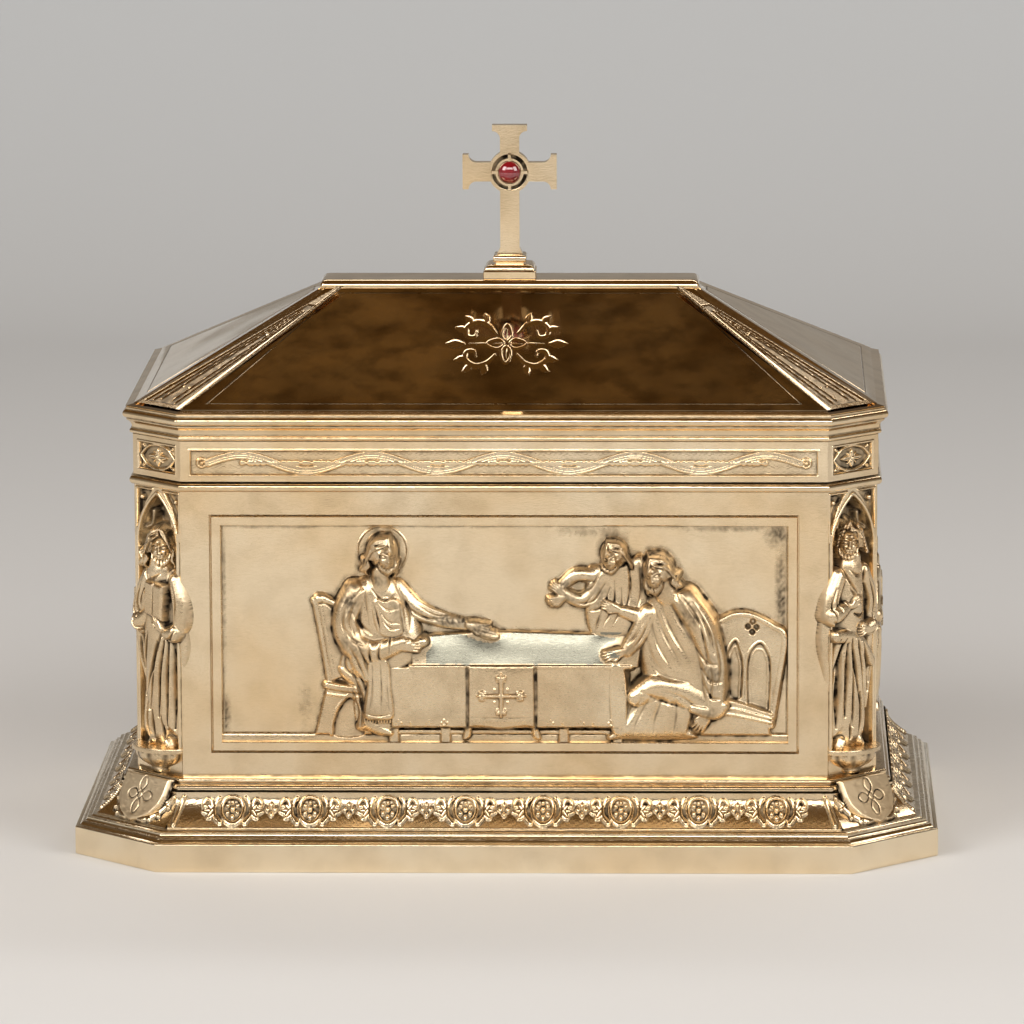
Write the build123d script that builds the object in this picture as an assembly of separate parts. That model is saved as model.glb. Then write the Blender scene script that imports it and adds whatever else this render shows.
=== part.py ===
from build123d import *
import os
from math import sqrt

# A silver-gilt host box: an eight-sided casket on a moulded foot, with a hipped lid
# that is hinged along the back and carries a cross. Millimetres, +Z up, the front
# towards -Y, and the origin at the middle of the foot's underside.

# ---- plan: every outline is the foot's octagon moved in by an inset ----
foot_width = 200.0
foot_depth = 138.0
corner_leg = 20.0

plinth_inset = 0.0
cove_foot_inset = 5.0
cove_neck_inset = 10.5
cap_inset = 11.0
wall_inset = 14.3
rim_inset = 13.2
frieze_inset = 14.1
cornice_inset = 11.8
eaves_inset = 12.5
slope_inset = 14.5
foot_inner_inset = 20.0
flange_inset = 27.0
shield_half_width = 7.8
shield_stand = 0.8
shield_top_drop = 0.4

# ---- heights of each course, from the floor up ----
plinth_band = 6.6
plinth_height = 9.1
cove_height = 7.5
cap_height = 3.3
wall_height = 66.3
rim_height = 2.0
lid_gap = 0.4
frieze_height = 9.3
cornice_height = 6.6
eaves_height = 0.5
roof_height = 22.0
ridge_thickness = 1.5
ridge_half_length = 43.6
ridge_half_depth = 6.3
ridge_overhang = 0.3
roof_wall = 1.4
ridge_bearing = 2.2
tracery_thickness = 0.8
tracery_margin = 1.2

# ---- walls, plaques and corner niches ----
wall_thickness = 4.0
post_depth = 6.0
stile = 6.3
bottom_rail = 5.2
top_rail = 5.3
plaque_gap = 0.4
plaque_thickness = 3.2
plaque_border = 2.3
plaque_recess = 2.0
relief_depth = 3.0
niche_width = 12.4
niche_depth = 3.5
niche_head = 2.4
corbel_half_width = 8.0
corbel_stand = 5.6
corbel_height = 6.0
figure_headroom = 5.4
figure_side_gap = 0.6
figure_depth = 8.5
figure_head = 5.0

# ---- inside and underside ----
sheet = 1.5
running_gap = 0.3
liner_wall = 1.2
liner_gap = 0.5
bezel_wall = 1.2
bezel_drop = 4.5
base_recess = 1.0
base_margin = 12.0
screw_radius = 1.2
screw_clearance = 0.15
screw_head_radius = 2.2
screw_head_height = 0.7
base_screw_length = 5.0
floor_screw_length = 4.4
screw_spread = 0.7

# ---- hinge ----
hinge_length = 60.0
knuckles = 5
knuckle_gap = 0.2
barrel_radius = 2.0
barrel_gap = 0.1
pin_radius = 1.0
pin_running_gap = 0.05
leaf_thickness = 1.2
body_leaf_height = 10.0
lid_leaf_height = 8.8

# ---- cross and its seat ----
pedestal_lower = 12.4
pedestal_upper = 7.9
pedestal_lower_height = 3.2
pedestal_upper_height = 2.2
cross_height = 30.5
cross_thickness = 3.0
arm_length = 11.05
arm_width = 4.5
terminal_width = 8.2
terminal_thickness = 1.4
terminal_flare = 1.7
foot_flare = 0.8
jewel_radius = 2.65
jewel_rise = 1.8
jewel_gap = 0.15
collet_wall = 0.5
collet_stand = 0.6
sinking_gap = 0.9
sinking_depth = 2.0
ring_wall = 0.8
claw_width = 0.7
claw_rise = 0.5
tang_radius = 0.9
nut_width = 5.0
nut_height = 2.4

# ---- levels and places worked out from the sizes above ----
cove_z = plinth_height
cap_z = cove_z + cove_height
wall_z = cap_z + cap_height
rim_z = wall_z + wall_height
body_top_z = rim_z + rim_height
frieze_z = body_top_z + lid_gap
cornice_z = frieze_z + frieze_height
eaves_z = cornice_z + cornice_height
slope_z = eaves_z + eaves_height
roof_top_z = slope_z + roof_height
ridge_z = roof_top_z + ridge_thickness
cross_z = ridge_z + pedestal_lower_height + pedestal_upper_height
cross_centre_z = cross_z + cross_height - arm_length
floor_top_z = wall_z + sheet
collet_radius = jewel_radius + jewel_gap + collet_wall
sinking_radius = collet_radius + sinking_gap
ring_radius = sinking_radius + ring_wall
liner_outer_inset = wall_inset + post_depth + running_gap
liner_inner_inset = liner_outer_inset + liner_wall
bezel_outer_inset = liner_inner_inset + liner_gap
bezel_inner_inset = bezel_outer_inset + bezel_wall
hinge_y = foot_depth / 2 - frieze_inset + barrel_gap + barrel_radius
hinge_z = (body_top_z + frieze_z) / 2
wall_back_y = foot_depth / 2 - wall_inset
frieze_back_y = foot_depth / 2 - frieze_inset
top_of_everything = ridge_z + 2 * cross_height

SIDES = ["front", "front_right", "right", "back_right", "back", "back_left", "left", "front_left"]
MAIN = [0, 2, 4, 6]
CORNERS = [1, 3, 5, 7]

os.makedirs("parts", exist_ok=True)


def save(name, shape):
    """Write one piece as its own file."""
    export_step(Compound(children=list(shape.solids())) if len(shape.solids()) > 1 else shape.solid(),
                f"parts/{name}.step")


def leg(inset):
    """The plan leg of the 45 degree corner on an outline moved in by inset."""
    return corner_leg - inset * (2 - sqrt(2))


def plan(inset):
    """The eight plan corners of an outline, from the front side's left end round to the right."""
    a = foot_width / 2 - inset
    b = foot_depth / 2 - inset
    c = leg(inset)
    return [(-a + c, -b), (a - c, -b), (a, -b + c), (a, b - c),
            (a - c, b), (-a + c, b), (-a, b - c), (-a, -b + c)]


def side_length(side, inset):
    """How long one side of an outline is."""
    (x0, y0), (x1, y1) = plan(inset)[side], plan(inset)[(side + 1) % 8]
    return sqrt((x1 - x0) ** 2 + (y1 - y0) ** 2)


def side_vectors(side):
    """One side's middle on the foot's outline, its direction to the right, and its way out."""
    (x0, y0), (x1, y1) = plan(0)[side], plan(0)[(side + 1) % 8]
    along = Vector(x1 - x0, y1 - y0, 0).normalized()
    outward = Vector(along.Y, -along.X, 0)
    return Vector((x0 + x1) / 2, (y0 + y1) / 2, 0), along, outward


def face_plane(side, inset=0.0, z=0.0):
    """A plane on one side's upright face: x to the right seen from outside, y up, z outward."""
    middle, along, outward = side_vectors(side)
    return Plane(origin=middle - outward * inset + Vector(0, 0, z), x_dir=along, z_dir=outward)


def section_plane(side):
    """A plane across one side: x is how far in from the foot's outline, y is up."""
    middle, along, outward = side_vectors(side)
    return Plane(origin=middle, x_dir=outward * -1, z_dir=along)


def plate(inset, z, height):
    """An eight-sided slab."""
    return extrude(Plane.XY.offset(z) * make_face(Polyline(*plan(inset), close=True)), height)


def ring(outer_inset, inner_inset, z, height):
    """An eight-sided slab with its middle taken out."""
    return plate(outer_inset, z, height) - plate(inner_inset, z, height)


def section(start, *steps):
    """A moulding's section from (inset, z) steps: a point is a straight, two points an arc."""
    edges, here = [], start
    for step in steps + (start,):
        if isinstance(step[0], tuple):
            edges.append(ThreePointArc(here, step[0], step[1]))
            here = step[1]
        else:
            edges.append(Line(here, step))
            here = step
    return make_face(Curve() + edges)


def run(profile, side):
    """A length of moulding on one side, with its ends mitred to meet the next lengths."""
    i, j = side, (side + 1) % 8
    outer, inner = plan(-1.0), plan(flange_inset + 1.0)
    wedge = extrude(make_face(Polyline(outer[i], outer[j], inner[j], inner[i], close=True)),
                    top_of_everything)
    length = extrude(section_plane(side) * profile, foot_width, both=True)
    return length & wedge


def moulding(profile):
    """A moulding that runs right round the casket."""
    lengths = [run(profile, side) for side in range(8)]
    return lengths[0].fuse(*lengths[1:])


def slab_section(outer_inset, inner_inset, z, height):
    """A plain rectangular section."""
    return section((outer_inset, z), (outer_inset, z + height), (inner_inset, z + height), (inner_inset, z))


def block(width, height, depth, x=0.0, y=0.0, z=0.0):
    """A box centred on x and y that stands up from z, in the current frame."""
    return Pos(x, y, z + depth / 2) * Box(width, height, depth)


# ================= the foot =================
ledge_z = base_recess + sheet

plinth = moulding(section(
    (plinth_inset, 0), (plinth_inset, plinth_band),
    ((0.9, plinth_band + 0.9), (2.2, plinth_band + 1.2)), (2.2, plinth_band + 1.5),
    ((3.0, plinth_height - 0.5), (cove_foot_inset - 1.0, plinth_height)),
    (foot_inner_inset, plinth_height), (foot_inner_inset, ledge_z),
    (base_margin, ledge_z), (base_margin, 0)))

cove = section(
    (cove_foot_inset, cove_z),
    ((cove_foot_inset + 1.6, cove_z + 0.55 * cove_height), (cove_neck_inset, cap_z - 0.8)),
    (cove_neck_inset, cap_z), (foot_inner_inset, cap_z), (foot_inner_inset, cove_z))

bead = cap_height / 2
cap = moulding(section(
    (cap_inset + 0.6, cap_z), ((cap_inset, cap_z + bead / 2), (cap_inset + 0.6, cap_z + bead)),
    (cap_inset + 1.6, cap_z + bead),
    ((cap_inset + 1.1, cap_z + 1.5 * bead), (cap_inset + 1.6, wall_z)),
    (flange_inset, wall_z), (flange_inset, cap_z)))



def shield(side):
    """A heater-shaped shield that leans over the cove and the cap moulding at a corner."""
    top_z = wall_z - shield_top_drop
    face_inset = cap_inset - 0.1
    slab = section(
        (cove_foot_inset - shield_stand, cove_z), (face_inset - shield_stand, top_z), (face_inset, top_z),
        (face_inset, cap_z), (face_inset, cove_z))
    half, waist_z = shield_half_width, cove_z + 0.62 * (top_z - cove_z)
    heater = make_face(Curve() + [
        Line((-half, top_z), (half, top_z)), Line((half, top_z), (half, waist_z)),
        ThreePointArc((half, waist_z), (0.66 * half, cove_z + 0.2 * (top_z - cove_z)), (0.4, cove_z)),
        Line((0.4, cove_z), (-0.4, cove_z)),
        ThreePointArc((-0.4, cove_z), (-0.66 * half, cove_z + 0.2 * (top_z - cove_z)), (-half, waist_z)),
        Line((-half, waist_z), (-half, top_z))])
    outline = extrude(face_plane(side) * heater, -foot_inner_inset)
    return extrude(section_plane(side) * slab, 2 * half, both=True) & outline


for side in MAIN:
    save(f"foot_cove_{SIDES[side]}", run(cove, side))
for side in CORNERS:
    save(f"foot_corner_{SIDES[side]}", run(cove, side) + shield(side))

# ---- base plate under the foot, and the floor plate inside the walls, each on screws ----
base = plate(base_margin + running_gap, base_recess, sheet)
floor_outer_inset = wall_inset + post_depth + running_gap
floor_plate = plate(floor_outer_inset, wall_z, sheet)


def screw_places(inset):
    """Plan places of six screws: two to each long side and one to each short side."""
    a, b = foot_width / 2 - inset, foot_depth / 2 - inset
    x = screw_spread * (a - leg(inset))
    return [(x, b), (-x, b), (x, -b), (-x, -b), (a, 0), (-a, 0)]


def screws(places, head_z, length):
    """A set of pan-head screws, heads down, that reach up from head_z."""
    return [Pos(x, y, head_z) * (
        Cylinder(screw_head_radius, screw_head_height, align=(Align.CENTER, Align.CENTER, Align.MIN))
        + Pos(0, 0, screw_head_height)
        * Cylinder(screw_radius, length, align=(Align.CENTER, Align.CENTER, Align.MIN)))
        for x, y in places]


def screw_holes(places, z, depth):
    """Clear holes for a set of screws, from z upwards."""
    radius = screw_radius + screw_clearance
    return [Pos(x, y, z) * Cylinder(radius, depth, align=(Align.CENTER, Align.CENTER, Align.MIN))
            for x, y in places]


base_places = screw_places((base_margin + foot_inner_inset) / 2)
floor_places = screw_places((foot_inner_inset + flange_inset) / 2)
base -= screw_holes(base_places, base_recess, sheet)
plinth -= screw_holes(base_places, ledge_z, base_screw_length - sheet + screw_clearance)
cap -= screw_holes(floor_places, cap_z, cap_height)
floor_plate -= screw_holes(floor_places, wall_z, floor_screw_length - cap_height + screw_clearance)
save("foot_plinth", plinth)
save("foot_cap_moulding", cap)
save("base_plate", base)
save("floor_plate", floor_plate)
save("base_screws", Compound(screws(base_places, base_recess - screw_head_height, base_screw_length)))
save("floor_screws", Compound(screws(floor_places, cap_z - screw_head_height, floor_screw_length)))

# ================= the walls =================
plaque_height = wall_height - bottom_rail - top_rail - 2 * plaque_gap
plaque_mid_z = wall_z + bottom_rail + plaque_gap + plaque_height / 2


def wall_frame(side):
    """One wall: a plate with a pocket for the plaque and a window behind it."""
    frame = run(slab_section(wall_inset, wall_inset + wall_thickness, wall_z, wall_height), side)
    pocket_width = side_length(side, wall_inset) - 2 * stile
    pocket_height = plaque_height + 2 * plaque_gap
    bearing = plaque_border + plaque_gap
    pocket = block(pocket_width, pocket_height, wall_thickness, z=-plaque_thickness)
    window = block(pocket_width - 2 * bearing, pocket_height - 2 * bearing, 2 * wall_thickness,
                   z=-1.5 * wall_thickness)
    return frame - face_plane(side, wall_inset, plaque_mid_z) * (pocket + window)


def plaque(side):
    """A plaque with a sunk field, and a plain raised mass where its relief stands."""
    width = side_length(side, wall_inset) - 2 * stile - 2 * plaque_gap
    field_width, field_height = width - 2 * plaque_border, plaque_height - 2 * plaque_border
    body = block(width, plaque_height, plaque_thickness, z=-plaque_thickness)
    body -= block(field_width, field_height, plaque_recess, z=-plaque_recess)
    mass_width = 0.6 * field_width if side in (0, 4) else 0.42 * field_width
    mass_height = 0.94 * field_height
    mass = block(mass_width, mass_height, relief_depth, y=(mass_height - field_height) / 2, z=-plaque_recess)
    mass = fillet(mass.edges().filter_by(Axis.Z) + mass.faces().sort_by(Axis.Z)[-1].edges(), relief_depth / 2)
    return face_plane(side, wall_inset, plaque_mid_z) * (body + mass)


for side in MAIN:
    save(f"wall_{SIDES[side]}", wall_frame(side))
    save(f"panel_{SIDES[side]}", plaque(side))

# ---- corner posts with a pointed niche, a half-bowl corbel and a standing figure ----
niche_top_z = rim_z - niche_head
sill_z = wall_z + corbel_height
niche_half = niche_width / 2
spring_z = niche_top_z - niche_half * sqrt(3)
figure_height = niche_top_z - sill_z - figure_headroom


def corner_post(side):
    """One canted corner: a solid post with a pointed niche sunk in its face."""
    post = run(slab_section(wall_inset, wall_inset + post_depth, wall_z, wall_height), side)
    haunch = (niche_width * sqrt(3) / 2 - niche_half, spring_z + niche_half)
    arch = make_face(Curve() + [
        Line((-niche_half, sill_z), (niche_half, sill_z)), Line((niche_half, sill_z), (niche_half, spring_z)),
        ThreePointArc((niche_half, spring_z), haunch, (0, niche_top_z)),
        ThreePointArc((0, niche_top_z), (-haunch[0], haunch[1]), (-niche_half, spring_z)),
        Line((-niche_half, spring_z), (-niche_half, sill_z))])
    return post - face_plane(side, wall_inset) * extrude(arch, -niche_depth)


def corbel(side):
    """A shallow half bowl on the post's face, under the niche's sill."""
    r, h = corbel_half_width, corbel_height
    bowl = make_face(Curve() + [
        Line((0, 0), (0.3 * r, 0)), ThreePointArc((0.3 * r, 0), (0.8 * r, 0.4 * h), (r, h)),
        Line((r, h), (0, h)), Line((0, h), (0, 0))])
    half = revolve(bowl, Axis.Y) & block(4 * r, 4 * h, 2 * r)
    return face_plane(side, wall_inset, wall_z) * scale(half, by=(1, 1, corbel_stand / r))


def figure(side):
    """A plain standing figure: a tapered body, a neck and a head, flat against the niche."""
    half = niche_half - figure_side_gap
    shoulder = figure_height - 2.2 * figure_head
    body = make_face(Polyline(
        (-0.72 * half, 0), (0.72 * half, 0), (0.8 * half, 0.45 * shoulder), (half, 0.86 * shoulder),
        (0.72 * half, shoulder), (-0.72 * half, shoulder), (-half, 0.86 * shoulder),
        (-0.8 * half, 0.45 * shoulder), close=True))
    blank = extrude(body, figure_depth)
    blank = chamfer(blank.faces().sort_by(Axis.Z)[-1].edges(), figure_depth * 0.28)
    neck = block(figure_head * 0.9, figure_head * 0.8, figure_depth * 0.6, y=shoulder + figure_head * 0.3)
    head = Pos(0, figure_height - figure_head, figure_depth * 0.45) * Sphere(figure_head)
    head &= block(4 * figure_head, 4 * figure_height, 4 * figure_head)
    return face_plane(side, wall_inset + niche_depth, sill_z) * (blank + neck + head)


for side in CORNERS:
    save(f"corner_post_{SIDES[side]}", corner_post(side))
    save(f"corner_corbel_{SIDES[side]}", corbel(side))
    save(f"corner_figure_{SIDES[side]}", figure(side))

# ---- rim bead on the walls, notched for the hinge, and the gilt liner ----
hinge_notch = Pos(0, wall_back_y + foot_depth / 2, rim_z + rim_height / 2) * Box(
    hinge_length + 2 * knuckle_gap, foot_depth, rim_height)
rim = moulding(section(
    (rim_inset + 0.8, rim_z), ((rim_inset, rim_z + rim_height / 2), (rim_inset + 0.8, body_top_z)),
    (liner_inner_inset, body_top_z), (liner_inner_inset, rim_z)))
save("rim_bead", rim - hinge_notch)
liner = plate(liner_outer_inset, floor_top_z, rim_z - floor_top_z)
liner -= plate(liner_inner_inset, floor_top_z + liner_wall, rim_z)
save("inner_liner", liner)

# ================= the lid =================
frieze = slab_section(frieze_inset, frieze_inset + wall_thickness, frieze_z, frieze_height)
for side in MAIN:
    save(f"frieze_{SIDES[side]}", run(frieze, side))
for side in CORNERS:
    save(f"frieze_corner_{SIDES[side]}", run(frieze, side))

cornice = moulding(section(
    (frieze_inset - 0.2, cornice_z), (frieze_inset - 0.2, cornice_z + 0.4),
    ((frieze_inset - 1.3, cornice_z + 1.0), (frieze_inset - 0.8, cornice_z + 1.6)),
    ((frieze_inset - 0.4, cornice_z + 2.8), (cornice_inset + 0.9, cornice_z + 3.9)),
    (cornice_inset + 0.7, cornice_z + 4.4),
    ((cornice_inset, cornice_z + 5.25), (cornice_inset + 0.7, cornice_z + 6.1)),
    (cornice_inset + 0.7, eaves_z), (bezel_inner_inset, eaves_z), (bezel_inner_inset, cornice_z)))
save("lid_cornice", cornice)
save("lid_bezel", ring(bezel_outer_inset, bezel_inner_inset, body_top_z - bezel_drop,
                       cornice_z - body_top_z + bezel_drop))


def ridge_outline(inset, z):
    """The roof's top outline, a long narrow rectangle with clipped corners."""
    a, b, c = ridge_half_length - inset, ridge_half_depth - inset, 0.8
    points = [(-a + c, -b), (a - c, -b), (a, -b + c), (a, b - c),
              (a - c, b), (-a + c, b), (-a, b - c), (-a, -b + c)]
    return Plane.XY.offset(z) * make_face(Polyline(*points, close=True))


def hipped_roof():
    """The hipped roof's outer form: a low flared eaves course, then straight slopes to the ridge."""
    eaves = Plane.XY.offset(eaves_z) * make_face(Polyline(*plan(eaves_inset), close=True))
    slope = Plane.XY.offset(slope_z) * make_face(Polyline(*plan(slope_inset), close=True))
    top = ridge_outline(ridge_overhang, roof_top_z)
    return loft([eaves, slope], ruled=True) + loft([slope, top], ruled=True)


roof_run = (foot_depth / 2 - slope_inset) - (ridge_half_depth - ridge_overhang)
run_per_rise = roof_run / roof_height
inward = roof_wall * sqrt(1 + run_per_rise ** 2)
inner_eaves = Plane.XY.offset(eaves_z) * make_face(Polyline(
    *plan(slope_inset + inward - eaves_height * run_per_rise), close=True))
inner_top = ridge_outline(ridge_overhang + inward - ridge_bearing * run_per_rise, roof_top_z - ridge_bearing)
tang_hole = Pos(0, 0, roof_top_z) * Cylinder(tang_radius + screw_clearance, 4 * ridge_bearing)
save("roof_shell", hipped_roof() - loft([inner_eaves, inner_top], ruled=True) - tang_hole)

# ---- pierced plates on the roof's narrow corner facets ----
def tracery(side):
    """A tapering plate that lies on one corner facet."""
    low = [Vector(x, y, slope_z) for x, y in (plan(slope_inset)[side], plan(slope_inset)[(side + 1) % 8])]
    top = ridge_outline(ridge_overhang, roof_top_z).vertices()
    middle = (low[0] + low[1]) / 2
    apex = sum((Vector(v.X, v.Y, v.Z) for v in sorted(
        top, key=lambda v: (Vector(v.X, v.Y, v.Z) - middle).length)[:2]), Vector(0, 0, 0)) / 2
    along, up = (low[1] - low[0]).normalized(), (apex - middle).normalized()
    half, rise = (low[1] - low[0]).length / 2, (apex - middle).length
    out = along.cross(up)
    outline = Polyline((-half * 0.86, tracery_margin), (half * 0.86, tracery_margin),
                       (0.5, rise * 0.93), (-0.5, rise * 0.93), close=True)
    return Plane(origin=middle, x_dir=along, z_dir=out) * extrude(make_face(outline), tracery_thickness)


for side in CORNERS:
    save(f"corner_tracery_{SIDES[side]}", tracery(side))

# ---- ridge plate, stepped pedestal and cross ----
upright = (Align.CENTER, Align.CENTER, Align.MIN)
ridge = Pos(0, 0, roof_top_z) * Box(2 * ridge_half_length, 2 * ridge_half_depth, ridge_thickness, align=upright)
ridge = fillet(ridge.edges().filter_by(Axis.Z), 1.0)
ridge = fillet(ridge.faces().sort_by(Axis.Z)[-1].edges(), ridge_thickness * 0.6)
save("ridge_plate", ridge - tang_hole)

pedestal = Pos(0, 0, ridge_z) * Box(pedestal_lower, 2 * ridge_half_depth - 1.8, pedestal_lower_height, align=upright)
pedestal += Pos(0, 0, ridge_z + pedestal_lower_height) * Box(
    pedestal_upper, pedestal_upper * 0.85, pedestal_upper_height, align=upright)
save("cross_pedestal", pedestal - Pos(0, 0, ridge_z) * Cylinder(
    tang_radius + screw_clearance, 4 * pedestal_lower_height))

facing = Plane(origin=(0, 0, cross_centre_z), x_dir=(1, 0, 0), z_dir=(0, -1, 0))


def arm():
    """One arm of the cross, from its middle outwards, with a flat bar across its end."""
    root, tip, neck = arm_width / 2, terminal_width / 2, arm_length - terminal_thickness
    start = neck - terminal_flare
    bend = (start + 0.7 * terminal_flare, root + 0.3 * (tip - root))
    return make_face(Curve() + [
        Line((0, -root), (start, -root)), ThreePointArc((start, -root), (bend[0], -bend[1]), (neck, -tip)),
        Line((neck, -tip), (arm_length, -tip)), Line((arm_length, -tip), (arm_length, tip)),
        Line((arm_length, tip), (neck, tip)), ThreePointArc((neck, tip), bend, (start, root)),
        Line((start, root), (0, root)), Line((0, root), (0, -root))])


shaft_length = cross_centre_z - cross_z
outline = Circle(ring_radius) + [Rot(0, 0, turn) * arm() for turn in (0, 90, 180)]
outline += Pos(0, -shaft_length / 2) * Rectangle(arm_width, shaft_length)
outline += Pos(0, -shaft_length) * make_face(Polyline(
    (-arm_width / 2 - foot_flare, 0), (arm_width / 2 + foot_flare, 0), (arm_width / 2, 2 * foot_flare),
    (-arm_width / 2, 2 * foot_flare), close=True))
cross = facing * (extrude(outline, cross_thickness / 2, both=True)
                  - Pos(0, 0, cross_thickness / 2) * Cylinder(sinking_radius, 2 * sinking_depth))
tang_foot_z = roof_top_z - ridge_bearing - nut_height - 1.0
tang = Pos(0, 0, tang_foot_z) * Cylinder(tang_radius, cross_z - tang_foot_z, align=upright)
save("cross", cross + tang)

nut = extrude(Plane.XY.offset(roof_top_z - ridge_bearing - nut_height)
              * RegularPolygon(nut_width / 2, 6, major_radius=False), nut_height)
save("cross_nut", nut - Pos(0, 0, roof_top_z) * Cylinder(tang_radius + 0.02, 8 * nut_height))

sinking_floor = cross_thickness / 2 - sinking_depth
setting_height = sinking_depth + collet_stand
setting = Cylinder(collet_radius, setting_height, align=upright)
setting -= Pos(0, 0, setting_height / 2) * Cylinder(collet_radius - collet_wall, setting_height, align=upright)
claw = Pos((jewel_radius + sinking_radius) / 2, 0, setting_height) * Box(
    sinking_radius - jewel_radius, claw_width, claw_rise, align=upright)
setting += [Rot(0, 0, turn) * claw for turn in (0, 90, 180, 270)]
save("jewel_collet", facing * Pos(0, 0, sinking_floor) * setting)
jewel = Cylinder(jewel_radius, setting_height / 2, align=upright)
dome_radius = (jewel_radius ** 2 + jewel_rise ** 2) / (2 * jewel_rise)
dome = Pos(0, 0, setting_height / 2 + jewel_rise - dome_radius) * Sphere(dome_radius)
jewel += dome & (Pos(0, 0, setting_height / 2) * Cylinder(jewel_radius, 2 * jewel_rise, align=upright))
save("jewel", facing * Pos(0, 0, sinking_floor + setting_height / 2) * jewel)

# ================= the hinge =================
knuckle_length = (hinge_length - (knuckles - 1) * knuckle_gap) / knuckles
knuckle_pitch = knuckle_length + knuckle_gap
knuckle_x = [-hinge_length / 2 + knuckle_length / 2 + i * knuckle_pitch for i in range(knuckles)]


def lying(radius, length, x):
    """A cylinder along the hinge's axis, with its middle at x."""
    return Pos(x, hinge_y, hinge_z) * Rot(0, 90, 0) * Cylinder(radius, length)


def leaf(first, face_y, z_low, z_high, bore):
    """A hinge leaf on an upright face: every second knuckle, and a plate cleared round the rest."""
    plate_y = face_y + leaf_thickness / 2
    blank = Pos(0, plate_y, (z_low + z_high) / 2) * Box(hinge_length, leaf_thickness, z_high - z_low)
    for i, x in enumerate(knuckle_x):
        if i % 2 != first:
            blank -= lying(barrel_radius + 2 * barrel_gap, knuckle_length + 2 * knuckle_gap, x)
            low, high = min(hinge_z, z_low), max(hinge_z, z_high)
            reach = barrel_radius + 2 * barrel_gap
            near = (hinge_z - reach, high) if z_high <= hinge_z + 0.01 else (low, hinge_z + reach)
            blank -= Pos(x, plate_y, (near[0] + near[1]) / 2) * Box(
                knuckle_length + 2 * knuckle_gap, 2 * leaf_thickness, near[1] - near[0])
    for i, x in enumerate(knuckle_x):
        if i % 2 == first:
            blank += lying(barrel_radius, knuckle_length, x)
            blank -= lying(bore, knuckle_length + knuckle_gap, x)
    return blank


body_leaf = leaf(0, wall_back_y, hinge_z - body_leaf_height, hinge_z, pin_radius)
lid_leaf = leaf(1, frieze_back_y, frieze_z, frieze_z + lid_leaf_height, pin_radius + pin_running_gap)
save("hinge_body_leaf", body_leaf)
save("hinge_lid_leaf", lid_leaf)
save("hinge_pin", lying(pin_radius, hinge_length, 0))
print(f"hinge axis y {hinge_y:.2f} z {hinge_z:.2f}, top {cross_z + cross_height:.1f}")
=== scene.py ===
import math

import bpy
import numpy as np
from mathutils import Matrix, Vector


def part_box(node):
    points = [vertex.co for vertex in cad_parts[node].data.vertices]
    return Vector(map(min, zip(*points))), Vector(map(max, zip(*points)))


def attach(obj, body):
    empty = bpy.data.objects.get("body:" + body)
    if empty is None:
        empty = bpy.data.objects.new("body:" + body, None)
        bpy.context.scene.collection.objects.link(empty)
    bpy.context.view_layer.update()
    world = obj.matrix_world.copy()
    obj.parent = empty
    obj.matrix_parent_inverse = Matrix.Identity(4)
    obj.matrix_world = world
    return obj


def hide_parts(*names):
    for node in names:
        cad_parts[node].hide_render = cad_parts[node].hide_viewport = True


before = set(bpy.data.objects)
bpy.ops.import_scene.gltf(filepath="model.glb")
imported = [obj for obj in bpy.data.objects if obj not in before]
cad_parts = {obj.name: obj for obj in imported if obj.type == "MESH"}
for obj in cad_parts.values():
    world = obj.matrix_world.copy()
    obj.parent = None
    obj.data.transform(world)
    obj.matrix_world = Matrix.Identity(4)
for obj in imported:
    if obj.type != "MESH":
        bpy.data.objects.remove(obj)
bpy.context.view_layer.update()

# ---- The table top, the light and the camera ----
# A pale sweep stands in for a studio table and its paper. Two broad soft lights stand
# at the front corners, with a dark ceiling above, which is what the burnished roof reflects.
MM = 0.001
TABLE_COLOUR = (0.735, 0.742, 0.749)
PAPER_COLOUR = (0.521, 0.555, 0.588)
CEILING_COLOUR = (0.062, 0.034, 0.013)
CEILING_DARK = (0.034, 0.023, 0.010)
CEILING_WARM = (0.225, 0.118, 0.034)
HORIZON_COLOUR = (0.36, 0.34, 0.31)
LAMP_COLOUR = (1.0, 0.97, 0.93)


def shader(name):
    """A new material and its node tree, emptied down to one Principled shader."""
    material = bpy.data.materials.new(name)
    material.use_nodes = True
    return material, material.node_tree.nodes, material.node_tree.links


def mixed(nodes, links, factor, a, b):
    """A colour that goes from a to b with factor; either may be a colour or a socket."""
    node = nodes.new("ShaderNodeMix")
    node.data_type = "RGBA"
    for key, value in (("A", a), ("B", b)):
        if isinstance(value, tuple):
            node.inputs[key].default_value = (*value, 1)
        else:
            links.new(value, node.inputs[key])
    links.new(factor, node.inputs["Factor"])
    return node.outputs["Result"]


def spread(nodes, links, value, low, high, to_low=0.0, to_high=1.0):
    """A value moved from one range to another and held inside it."""
    node = nodes.new("ShaderNodeMapRange")
    for key, number in (("From Min", low), ("From Max", high), ("To Min", to_low), ("To Max", to_high)):
        node.inputs[key].default_value = number
    links.new(value, node.inputs["Value"])
    return node.outputs[0]


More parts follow.
